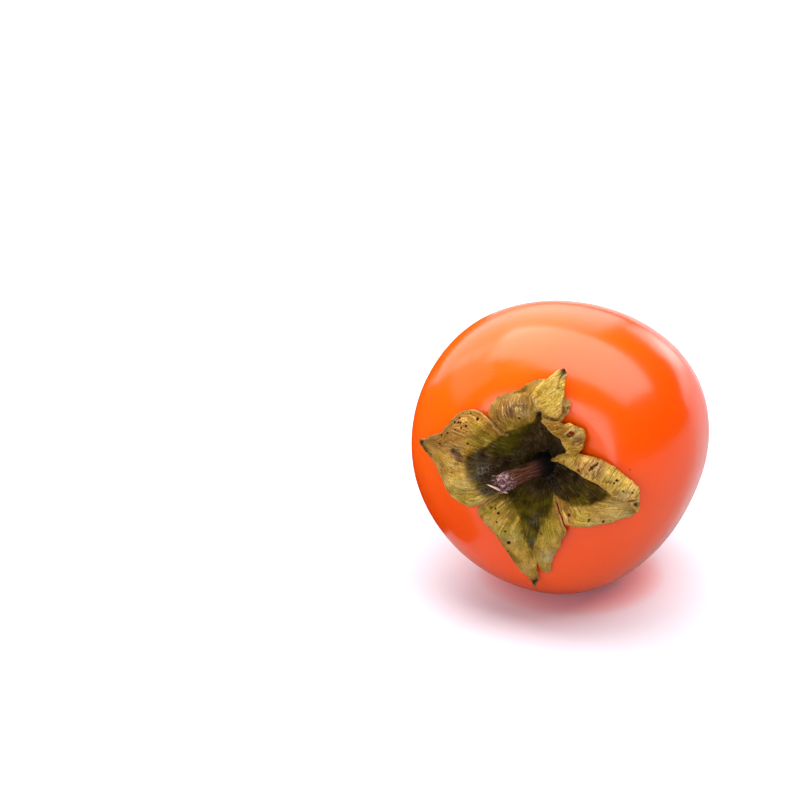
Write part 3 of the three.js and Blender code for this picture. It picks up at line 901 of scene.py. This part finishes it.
def panelPlace(panel, across, out):
    ahead = panel["from"][0][1] + 45  # the other margin is within half a turn of this bearing
    a = along(panel["from"], out)
    b = along(unwound(panel["to"], ahead), out)
    return polar(mix(a[0], b[0], across), mix(a[1], b[1], across))


def pinPlaces(pins):
    return [(polar(bearing, reach), lift) for bearing, reach, lift in pins]


def panelLift(pins, place):
    # the lift at a place, led by the nearest pins
    total = 0
    weight = 0
    for pin, lift in pins:
        near = 1 / ((pin - place).length_squared + calyx["pinSoftness"]) ** calyx["pinPower"]
        total += near * lift
        weight += near
    return total / weight


def markAt(name, place):
    # overlapping marks run together softly, and none is felt beyond 2.2 of its widths
    bare = 1.0
    for bearing, reach, width, strength in marks[name]:
        away = (polar(bearing, reach) - place).length / width
        if away < 2.2:
            bare *= 1 - strength * math.exp(-1.3 * away * away)
    return 1 - bare


hollowOff = -2.0  # well outside the hollow


def hollowDepth(place):
    # how far a place is inside the border of the hollow's painted shade, in widths of the border's soft
    # edge
    first = hollow[0][0]
    bearing = first + (math.degrees(math.atan2(place.y, place.x)) - first) % 360
    for a, b in zip(hollow, hollow[1:]):
        if bearing <= b[0]:
            part = (bearing - a[0]) / (b[0] - a[0])
            return (mix(a[1], b[1], part) - place.length) / mix(a[2], b[2], part)
    return hollowOff


def makePanels():
    bm = bmesh.new()
    panelLayer = bm.faces.layers.int.new("panel")
    uvLayer = bm.loops.layers.uv.new("sheet")
    for index, panel in enumerate(panels.values()):
        made = bmesh.ops.create_grid(bm, x_segments=calyx["columns"], y_segments=calyx["rows"], size=1)
        flat = {vert: ((vert.co.x + 1) / 2, (vert.co.y + 1) / 2) for vert in made["verts"]}
        for face in {face for vert in made["verts"] for face in vert.link_faces}:
            face[panelLayer] = index
            for loop in face.loops:
                loop[uvLayer].uv = flat[loop.vert]
        for vert, (across, out) in flat.items():
            vert.co = panelPlace(panel, across, out)
    bmesh.ops.remove_doubles(bm, verts=bm.verts, dist=0.004)
    return bm, panelLayer


def outlineBetween(bm, start, end):
    # the outline's vertices from one place to another, the shorter way round
    free = [v for v in bm.verts if v.is_boundary]
    first = min(free, key=lambda v: (v.co.xy - polar(*start).xy).length)
    last = min(free, key=lambda v: (v.co.xy - polar(*end).xy).length)
    ways = []
    for edge in [e for e in first.link_edges if e.is_boundary]:
        way = [first]
        length = edge.calc_length()
        vert = edge.other_vert(first)
        while vert is not last and vert is not first:
            way.append(vert)
            edge = next(e for e in vert.link_edges if e.is_boundary and e is not edge)
            vert = edge.other_vert(vert)
            length += edge.calc_length()
        ways.append((length, way + [last]))
    return min(ways, key=lambda way: way[0])[1]


def rollMargin(bm, curl, pins, foldLayer, uvLayer):
    # the sheet goes on from the outline and comes back above itself
    way = outlineBetween(bm, curl["start"], curl["end"])
    shares = [0.0]
    for a, b in zip(way, way[1:]):
        shares.append(shares[-1] + (b.co.xy - a.co.xy).length)
    shares = [share / shares[-1] for share in shares]
    ends = {}
    for vert, share in zip(way, shares):
        bearing, reach, lift = along(curl["edge"], share)
        ends[vert] = (vert.co.copy(), polar(bearing, reach), lift, share)
    inWay = set(way)
    edges = [e for e in bm.edges if e.is_boundary and e.verts[0] in inWay and e.verts[1] in inWay]
    faceLayer = bm.faces.layers.int["panel"]
    for k in range(1, curl["rows"] + 1):
        made = bmesh.ops.extrude_edge_only(bm, edges=edges)["geom"]
        fresh = [g for g in made if isinstance(g, bmesh.types.BMVert)]
        edges = [g for g in made if isinstance(g, bmesh.types.BMEdge)]
        faces = [g for g in made if isinstance(g, bmesh.types.BMFace)]
        nextEnds = {}
        for vert in fresh:
            old = next(e.other_vert(vert) for e in vert.link_edges if e.other_vert(vert) in ends)
            nextEnds[vert] = ends[old]
        part = k / curl["rows"]
        for vert, (fold, edge, lift, share) in nextEnds.items():
            # it climbs fast at first and moves in later, so it turns over instead of slanting
            base = fruitTop(fold.x, fold.y) + panelLift(pins, Vector((fold.x, fold.y, 0)))
            top = fruitTop(edge.x, edge.y) + lift
            crown = math.sin(math.pi * min(part * 1.15, 1)) * curl["bulge"]
            crown *= math.sin(math.pi * share) ** 0.5
            vert.co = fold.lerp(edge, part ** 1.35)
            vert.co.z = mix(base, top, part ** 0.55) + crown
            vert[foldLayer] = part
        for face in faces:
            face[faceLayer] = len(panels)
            for loop in face.loops:
                turned = Matrix.Rotation(math.radians(90 - curl["grain"]), 2) @ loop.vert.co.xy
                loop[uvLayer].uv = turned / calyx["lobeWidth"]
        ends = nextEnds


def shapePanels(bm, panelLayer):
    allPins = [pinPlaces(panel["pins"]) for panel in panels.values()]
    for vert in bm.verts:
        flat = Vector((vert.co.x, vert.co.y, 0))
        own = {face[panelLayer] for face in vert.link_faces}
        lift = sum(panelLift(allPins[i], flat) for i in own) / len(own)
        vert.co.z = fruitTop(flat.x, flat.y) + lift
    foldLayer = bm.verts.layers.float.new("fold")
    uvLayer = bm.loops.layers.uv["sheet"]
    for name, curl in curls.items():
        rollMargin(bm, curl, pinPlaces(panels[name]["pins"]), foldLayer, uvLayer)
    roughenSheet(bm, foldLayer)
    tearSheet(bm, foldLayer)


def roughenSheet(bm, foldLayer):
    # ribs, dents and ragged margins; each noise has a seed of its own
    tatteredPlace = polar(*calyx["tattered"])
    for vert in bm.verts:
        flat = Vector((vert.co.x, vert.co.y, 0))
        reach = flat.length
        bearing = math.atan2(flat.y, flat.x)
        fold = vert[foldLayer]
        loose = smoothStep(calyx["looseFrom"], calyx["looseTo"], reach) if not fold else 1.0
        ridge = rough((bearing * calyx["ribsRound"], reach * calyx["ribLength"], fold * 3), 1.0, 6.3)
        place = (flat.x, flat.y, fold * 5)
        rise = calyx["ribs"] * loose * (0.5 - abs(ridge) * 2)
        rise += calyx["crumple"] * loose * rough(place, calyx["crumpleWidth"], 7.7)
        rise += calyx["crease"] * (0.4 + 0.6 * loose) * rough(place, calyx["creaseWidth"], 2.4)
        torn = math.exp(-((flat - tatteredPlace).length / calyx["tatteredReach"]) ** 2)
        rise += calyx["tatteredLift"] * torn * rough(place, calyx["raggedWidth"], 3.9)
        if fold:
            rise *= calyx["rollStiffness"]
        edge = calyx["ragged"] * smoothStep(calyx["raggedFrom"], calyx["raggedTo"], reach)
        edge += calyx["tatteredRim"] * torn
        vert.co.x += edge * rough(flat, calyx["raggedWidth"], 12.6)
        vert.co.y += edge * rough(flat, calyx["raggedWidth"], 15.2)
        least = fruitTop(flat.x, flat.y) + calyx["leastLift"]
        vert.co.z = max(vert.co.z + rise, least)


rolledFrom = 0.05  # share of the way round a roll, from where a point belongs to the roll


def tearSheet(bm, foldLayer):
    # takes out the faces inside each tear's ellipse
    gone = []
    for tear in tears:
        centre = polar(*tear["at"])
        way = math.radians(tear["points"])
        for face in bm.faces:
            off = face.calc_center_median() - centre
            long = off.x * math.cos(way) + off.y * math.sin(way)
            wide = off.y * math.cos(way) - off.x * math.sin(way)
            inside = (long / tear["size"][0]) ** 2 + (wide / tear["size"][1]) ** 2 < 1
            rolled = min(v[foldLayer] for v in face.verts) > rolledFrom
            if inside and (rolled or not tear["rollOnly"]):
                gone.append(face)
    bmesh.ops.delete(bm, geom=gone, context="FACES")


innerMarks = ("black", "umber", "moss", "fuzz")  # these stay off the rolled margins


def paintPanels(bm, foldLayer):
    # how near each point is to a free margin, for the painted rim highlight, and the marks of age and the
    # hollow's painted shade, kept for the material
    rim = [v.co.copy() for v in bm.verts if v.is_boundary and v.co.xy.length > calyx["innerRing"] * 1.1]
    tree = KDTree(len(rim))
    for i, place in enumerate(rim):
        tree.insert(place, i)
    tree.balance()
    layers = {name: bm.verts.layers.float.new(name) for name in ("rim", *marks)}
    hollowLayer = bm.verts.layers.float.new("hollow")
    width = calyx["markWobbleWidth"]
    for vert in bm.verts:
        flat = Vector((vert.co.x, vert.co.y, 0))
        outer = smoothStep(4, 11, flat.length)
        nearest = tree.find(vert.co)[2]
        vert[layers["rim"]] = (1 - smoothStep(0.1, calyx["rimWidth"], nearest)) * outer
        wobble = Vector((rough(flat, width, 5.5), rough(flat, width, 8.8), 0)) * calyx["markWobble"]
        for name in marks:
            hidden = name in innerMarks and vert[foldLayer] > 2 * rolledFrom
            vert[layers[name]] = 0 if hidden else markAt(name, flat + wobble)
        rolled = vert[foldLayer] > rolledFrom
        vert[hollowLayer] = hollowOff if rolled else clamp(hollowDepth(flat), hollowOff, -hollowOff)


def overlay(tree, color, name, amount, strength=None):
    # lays one of the dry tones over the colour so far
    if strength:
        amount = maths(tree, "MULTIPLY", amount, strength)
    return blendColor(tree, amount, color, dryTones[name])


def calyxMaterial():
    material, tree, shader = newMaterial("dryCalyx")
    place = objectPlace(tree)
    sheet = addNode(tree, "ShaderNodeUVMap", uv_map="sheet").outputs["UV"]
    patches = noiseTexture(tree, place, 230.0, 4.0, 0.6)
    ageing = noiseTexture(tree, place, 560.0, 5.0, 0.68)
    flecks = noiseTexture(tree, place, 1900.0, 3.0, 0.6)
    color = ramp(tree, patches, dryTones["sheet"])
    for name, low, high, strength, tone in dryTones["marks"]:
        where = maths(tree, "MULTIPLY", attribute(tree, name), mask(tree, ageing, low, high))
        color = blendColor(tree, maths(tree, "MULTIPLY", where, strength), color, tone)

    # the hollow's floor: its own dark olive, moss and umber, darkened as painted shade, with black painted
    # shade deepest round the stem
    slow = noiseTexture(tree, place, 380.0, 3.0, 0.5)
    olive, moss, umber = [ramp(tree, slow, dryTones[name]) for name in ("olive", "moss", "umber")]
    shadedFloorTone = blendColor(tree, mask(tree, attribute(tree, "moss"), 0.15, 0.85), olive, moss)
    shadedFloorTone = blendColor(tree, mask(tree, attribute(tree, "umber"), 0.1, 0.9), shadedFloorTone, umber)
    centreShade = mask(tree, attribute(tree, "black"), 0.1, 0.85)
    shadedFloorTone = blendColor(tree, centreShade, shadedFloorTone, dryTones["black"])
    uneven = maths(tree, "MULTIPLY", maths(tree, "SUBTRACT", ageing, 0.5), 1.6)
    inside = mask(tree, maths(tree, "ADD", attribute(tree, "hollow"), uneven), -0.8, 0.8)
    color = blendColor(tree, inside, color, shadedFloorTone)

    # veins along the lobes, a net of threads between them, and flecks
    veins = useGroup(tree, fibres, "Streaks", {
        "Vector": sheet, "Across": 44.0, "Along": 7.0, "Tangle": 1.4})
    outside = maths(tree, "SUBTRACT", 1.0, maths(tree, "MULTIPLY", inside, 0.75))
    dim = maths(tree, "MULTIPLY", mask(tree, veins, 0.42, 0.03), 0.7)
    color = overlay(tree, color, "veinDark", maths(tree, "MULTIPLY", dim, outside))
    bright = maths(tree, "MULTIPLY", mask(tree, veins, 0.6, 0.96), 0.65)
    color = overlay(tree, color, "veinLight", maths(tree, "MULTIPLY", bright, outside))
    net = addNode(tree, "ShaderNodeTexVoronoi", {"Vector": place, "Scale": 1300.0},
                  feature="DISTANCE_TO_EDGE")
    threads = mask(tree, net.outputs["Distance"], 0.1, 0.0)
    color = overlay(tree, color, "thread", threads, 0.3)
    color = overlay(tree, color, "fleck", mask(tree, flecks, 0.57, 0.72), 0.45)
    felt = noiseTexture(tree, place, 1100.0, 5.0, 0.75, 2.5)
    grey = maths(tree, "MULTIPLY", attribute(tree, "fuzz"), mask(tree, felt, 0.5, 0.66))
    color = overlay(tree, color, "felt", grey, 0.45)

    # burnt tips, freckles, specks, and the painted highlight along the rim
    dark = maths(tree, "MULTIPLY", attribute(tree, "dark"), mask(tree, ageing, 0.2, 0.42))
    color = overlay(tree, color, "scorched", mask(tree, dark, 0.12, 0.9))
    freckles = useGroup(tree, specks, "Mask", {"Vector": place, "Scale": 900.0, "Share": 0.3, "Size": 0.3})
    freckled = maths(tree, "MULTIPLY", freckles, mask(tree, attribute(tree, "spots"), 0.15, 0.6))
    color = overlay(tree, color, "freckle", freckled)
    flat = addNode(tree, "ShaderNodeVectorMath", {0: place, 1: (1, 1, 0)}, operation="MULTIPLY").outputs[0]
    placed = [(polar(bearing, reach), radius) for bearing, reach, radius in dots]
    color = overlay(tree, color, "dot", dotMask(tree, flat, flecks, placed))
    scattered = useGroup(tree, specks, "Mask", {
        "Vector": place, "Scale": 600.0, "Share": 0.08, "Size": 0.24})
    color = overlay(tree, color, "scattered", scattered, 0.9)
    rim = mask(tree, attribute(tree, "rim"), 0.5, 0.95)
    rimHighlight = maths(tree, "MULTIPLY", rim, mask(tree, ageing, 0.34, 0.56))
    color = overlay(tree, color, "rim", rimHighlight, 0.7)
    tree.links.new(color, shader.inputs["Base Color"])
    shader.inputs["Roughness"].default_value = 0.7
    shader.inputs["Specular IOR Level"].default_value = 0.05
    height = maths(tree, "MULTIPLY", veins, 0.8)
    height = maths(tree, "ADD", height, maths(tree, "MULTIPLY", threads, -0.35))
    height = maths(tree, "ADD", height, maths(tree, "MULTIPLY", ageing, 1.2))
    height = maths(tree, "ADD", height, maths(tree, "MULTIPLY", flecks, 0.25))
    bump = addNode(tree, "ShaderNodeBump", {"Strength": 0.85, "Distance": 0.0005, "Height": height})
    tree.links.new(bump.outputs["Normal"], shader.inputs["Normal"])
    return material


def makeCalyx():
    bm, panelLayer = makePanels()
    shapePanels(bm, panelLayer)
    paintPanels(bm, bm.verts.layers.float["fold"])
    bmesh.ops.recalc_face_normals(bm, faces=bm.faces)
    finishPiece(bm, "dried_calyx", calyxMaterial(), "calyx", thickness=calyx["thickness"])


stem = {
    # Half of the outline in mm, from the foot to the torn end: out, along.
    "outline": [(0, 0), (2.2, 0), (3.1, 0.3), (2.6, 1.5), (2.05, 3.5), (1.85, 6), (1.95, 8.5),
                (2.15, 11), (1.8, 12.6), (1.0, 12.6), (0, 11.8)],
    # The line that the stub is bent along, in mm.
    "line": [(0, 0, 26.6), (-0.3, -0.1, 29.2), (-2.4, -1.0, 31.8), (-6.0, -2.8, 33.9), (-9.5, -4.4, 35.5)],
    "sides": 36,
    "rings": 46,
    "ribs": 0.3,
    "raggedEnd": 1.8,     # mm
    "raggedFrom": 0.85,   # share of the length
    "splinters": 34,
    "splintersAt": 0.93,
    "seed": 11,
    # One long pale sliver at the torn end's lower side: foot and way it points, length and width in mm.
    "sliver": ((2.2, -2.5, 0.0), (-1, 0.36, 0.16), 6.8, 0.7),
    "bark": [(0.1, (0.026, 0.007, 0.004)), (0.5, (0.10, 0.030, 0.014)), (0.95, (0.22, 0.08, 0.045))],
    "frayed": [(0.40, (0.05, 0.02, 0.024)), (0.53, (0.24, 0.11, 0.11)), (0.66, (0.66, 0.48, 0.44))],
    # nearly black: painted shade where the foot stands deep in the calyx cup
    "foot": (0.006, 0.003, 0.003),
    "sliverColor": (0.82, 0.55, 0.42),
}
# How torn a point is: below 0 towards the foot, which is painted dark as painted shade deep in the calyx
# cup, 1 at the torn end and 2 on the sliver.


def bentPlace(line, share):
    # a point on a line, and the two directions square to it
    count = len(line) - 1
    i = min(int(share * count), count - 1)
    point = line[i].lerp(line[i + 1], share * count - i)
    forward = (line[min(i + 2, count)] - line[max(i - 1, 0)]).normalized()
    across = forward.cross(Vector((0, 1, 0))).normalized()
    return point, forward, across, across.cross(forward)


def stemMaterial():
    material, tree, shader = newMaterial("dryStem")
    place = objectPlace(tree)
    sheet = addNode(tree, "ShaderNodeUVMap", uv_map="sheet").outputs["UV"]
    streaks = useGroup(tree, fibres, "Streaks", {
        "Vector": sheet, "Across": 40.0, "Along": 5.0, "Tangle": 0.6})
    color = ramp(tree, streaks, stem["bark"])
    torn = attribute(tree, "torn")
    # the foot painted dark: painted shade deep in the calyx cup
    color = blendColor(tree, mask(tree, torn, 0.05, -0.75), color, stem["foot"])
    fluff = noiseTexture(tree, place, 1300.0, 4.0, 0.7)
    frayed = ramp(tree, fluff, stem["frayed"])
    ripped = maths(tree, "ADD", torn, maths(tree, "MULTIPLY", maths(tree, "SUBTRACT", fluff, 0.5), 1.6))
    color = blendColor(tree, mask(tree, ripped, 0.3, 0.8), color, frayed)
    color = blendColor(tree, mask(tree, torn, 1.2, 1.8), color, stem["sliverColor"])
    tree.links.new(color, shader.inputs["Base Color"])
    shader.inputs["Roughness"].default_value = 0.8
    shader.inputs["Specular IOR Level"].default_value = 0.15
    height = maths(tree, "ADD", streaks, maths(tree, "MULTIPLY", fluff, 0.8))
    bump = addNode(tree, "ShaderNodeBump", {"Strength": 0.8, "Distance": 0.0004, "Height": height})
    tree.links.new(bump.outputs["Normal"], shader.inputs["Normal"])
    return material


def makeStem():
    line = evenCurve(stem["line"], 40)
    length = stem["outline"][-3][1]
    bm = spunShape(closedProfile(stem["outline"], stem["rings"]), stem["sides"])
    torn = bm.verts.layers.float.new("torn")
    uvLayer = bm.loops.layers.uv.new("sheet")
    for face in bm.faces:
        angles = [math.atan2(v.co.y, v.co.x) for v in face.verts]
        wraps = max(angles) - min(angles) > math.pi
        for loop, angle in zip(face.loops, angles):
            turned = angle + math.tau if wraps and angle < 0 else angle
            loop[uvLayer].uv = (turned / math.tau, loop.vert.co.z / length)
    for vert in bm.verts:
        x, y, z = vert.co
        share = z / length
        angle = math.atan2(y, x)
        rib = 1 + stem["ribs"] * rough((3 * math.cos(angle), 3 * math.sin(angle), z / 6), 1.0, 4.2)
        beyond = 0
        if share > stem["raggedFrom"]:
            z += stem["raggedEnd"] * rough((x * 1.6, y * 1.6, 0), 1.0, 9.1) * math.hypot(x, y) / 2
            beyond = z - share * length
        point, forward, across, depth = bentPlace(line, clamp(share))
        vert.co = point + (across * x + depth * y) * rib + forward * beyond
        vert[torn] = smoothStep(0.62, 0.9, share) - 0.75 * (1 - smoothStep(0.15, 0.5, share))
    addSplinters(bm, line, torn)
    finishPiece(bm, "stem_stub_torn", stemMaterial(), "stem_stub", subdivide=1)


def addSplinters(bm, line, torn):
    # torn fibres that stand out of the broken end, and the sliver
    luck = random.Random(stem["seed"])
    point, forward, across, depth = bentPlace(line, stem["splintersAt"])
    for k in range(stem["splinters"]):
        angle = luck.uniform(0, math.tau)
        out = luck.uniform(0.4, 2.1)
        tall = luck.uniform(1.0, 2.6)
        lean = forward + (across * math.cos(angle) + depth * math.sin(angle)) * luck.uniform(0.05, 0.5)
        foot = point + (across * math.cos(angle) + depth * math.sin(angle)) * out
        addSpike(bm, foot, lean, tall, luck.uniform(0.1, 0.22), torn)
    foot, lean, tall, width = stem["sliver"]
    for vert in addSpike(bm, point + Vector(foot), Vector(lean), tall, width, torn):
        vert[torn] = 2


def addSpike(bm, foot, lean, tall, width, torn):
    made = bmesh.ops.create_cone(bm, segments=6, radius1=width, radius2=width * 0.12, depth=tall,
                                 cap_ends=True)
    turn = lean.normalized().to_track_quat("Z", "Y").to_matrix().to_4x4()
    stand = Matrix.Translation(foot) @ turn @ Matrix.Translation((0, 0, tall / 2))
    bmesh.ops.transform(bm, verts=made["verts"], matrix=stand)
    for vert in made["verts"]:
        vert[torn] = 1
    return made["verts"]


fuzz = {
    "seed": 5,
    "width": 0.032,       # mm, half of a hair's thickness
    "stemRoom": 2.6,      # mm round the stem that stay bare
    "points": 4,          # in the line of each hair
    "tones": [(0.3, (0.07, 0.06, 0.05)), (0.55, (0.18, 0.165, 0.13)), (0.75, (0.36, 0.34, 0.28))],
    # Patches of hair: bearing, reach, spread, how many, length in mm.
    "patches": [
        (183, 14.7, 3.0, 150, 1.8), (208, 14, 2.6, 110, 1.7), (195, 16.5, 2.4, 50, 1.5),
        (268, 13, 1.8, 50, 1.3), (269, 18, 1.4, 60, 1.3), (20, 3.5, 2.2, 40, 1.4),
        (300, 5, 2.2, 50, 1.4), (340, 12, 2.4, 24, 1.2), (90, 4.5, 2.4, 30, 1.3),
        (155, 6.5, 2.6, 30, 1.4), (235, 8, 2.6, 24, 1.3)],
}


def hairMaterial():
    material, tree, shader = newMaterial("greyFuzz")
    place = objectPlace(tree)
    tone = noiseTexture(tree, place, 300.0, 2.0)
    tree.links.new(ramp(tree, tone, fuzz["tones"]), shader.inputs["Base Color"])
    shader.inputs["Roughness"].default_value = 0.6
    return material


# The bearing where each panel begins. The last one runs on through 0 to the first.
panelStarts = {"topFlap": 36, "topMain": 74, "left": 139.5, "lowLeft": 216.5, "lowRight": 270, "right": 297}


def calyxHeight(place):
    # the sheet's height near a place, from whichever panel lies there
    bearing = math.degrees(math.atan2(place.y, place.x)) % 360
    name = "right"
    for key, start in panelStarts.items():
        if bearing >= start:
            name = key
    return fruitTop(place.x, place.y) + panelLift(pinPlaces(panels[name]["pins"]), place)


def makeFuzz():
    luck = random.Random(fuzz["seed"])
    data = bpy.data.curves.new("calyx_fuzz", "CURVE")
    data.dimensions = "3D"
    data.bevel_depth = fuzz["width"] / 1000
    data.bevel_resolution = 0
    data.resolution_u = 2
    for bearing, reach, spread, count, length in fuzz["patches"]:
        for k in range(count):
            aside = Vector((luck.gauss(0, spread / 2), luck.gauss(0, spread / 2), 0))
            place = polar(bearing, reach) + aside
            if place.length < fuzz["stemRoom"]:
                continue
            foot = Vector((place.x, place.y, calyxHeight(place) + calyx["thickness"] / 2 - 0.1))
            tall = length * luck.uniform(0.5, 1.3)
            lean = Vector((luck.uniform(-1, 1), luck.uniform(-1, 1), luck.uniform(0.3, 1.0))).normalized()
            curl = Vector((luck.uniform(-1, 1), luck.uniform(-1, 1), luck.uniform(-0.6, 0.2)))
            spline = data.splines.new("NURBS")
            spline.points.add(fuzz["points"] - 1)
            for i, point in enumerate(spline.points):
                share = i / (fuzz["points"] - 1)
                at = toRow @ (foot + lean * tall * share + curl * tall * 0.45 * share * share)
                point.co = (*at, 1)
                point.radius = 1 - 0.75 * share
            spline.order_u = 3
            spline.use_endpoint_u = True
    curve = bpy.data.objects.new("calyx_fuzz_curves", data)
    scene.collection.objects.link(curve)
    mesh = bpy.data.meshes.new_from_object(curve)
    mesh.name = "calyx_fuzz"
    bpy.data.objects.remove(curve)
    mesh.materials.clear()
    mesh.materials.append(hairMaterial())
    piece = bpy.data.objects.new("calyx_fuzz", mesh)
    scene.collection.objects.link(piece)
    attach(piece, "root")
    print("made calyx_fuzz", len(mesh.polygons), "faces")


tip = {
    # Half of the outline in mm, outwards from the fruit's end: out, along.
    "outline": [(0, -0.35), (1.0, -0.3), (0.95, 0.1), (0.75, 0.45), (0.5, 0.9), (0.25, 1.15), (0, 1.2)],
    "rings": 16,
    "sides": 24,
    "ribs": 0.25,
    "ribCount": 5,
    "tones": [(0.3, (0.008, 0.005, 0.004)), (0.7, (0.06, 0.03, 0.016))],
}


def tipMaterial():
    material, tree, shader = newMaterial("blossomTip")
    place = objectPlace(tree)
    tone = noiseTexture(tree, place, 1600.0, 3.0)
    tree.links.new(ramp(tree, tone, tip["tones"]), shader.inputs["Base Color"])
    shader.inputs["Roughness"].default_value = 0.75
    bump = addNode(tree, "ShaderNodeBump", {"Strength": 0.6, "Distance": 0.0003, "Height": tone})
    tree.links.new(bump.outputs["Normal"], shader.inputs["Normal"])
    return material


def makeTip():
    end = fruit["outline"][0][1]
    profile = closedProfile(tip["outline"], tip["rings"])
    bm = spunShape([(r, end - z) for r, z in profile], tip["sides"])
    for vert in bm.verts:
        angle = math.atan2(vert.co.y, vert.co.x)
        rib = 1 + tip["ribs"] * math.cos(tip["ribCount"] * angle) * 0.5
        rib += tip["ribs"] * rough(vert.co, 0.5, 1.3)
        vert.co.x *= rib
        vert.co.y *= rib
    finishPiece(bm, "blossom_tip_dry", tipMaterial(), "blossom_tip", subdivide=1)


makeCamera()
makeFloor()
makeCards()
makeLight()
print("stage ready")
makeFruit()
makeCalyx()
makeStem()
makeFuzz()
makeTip()
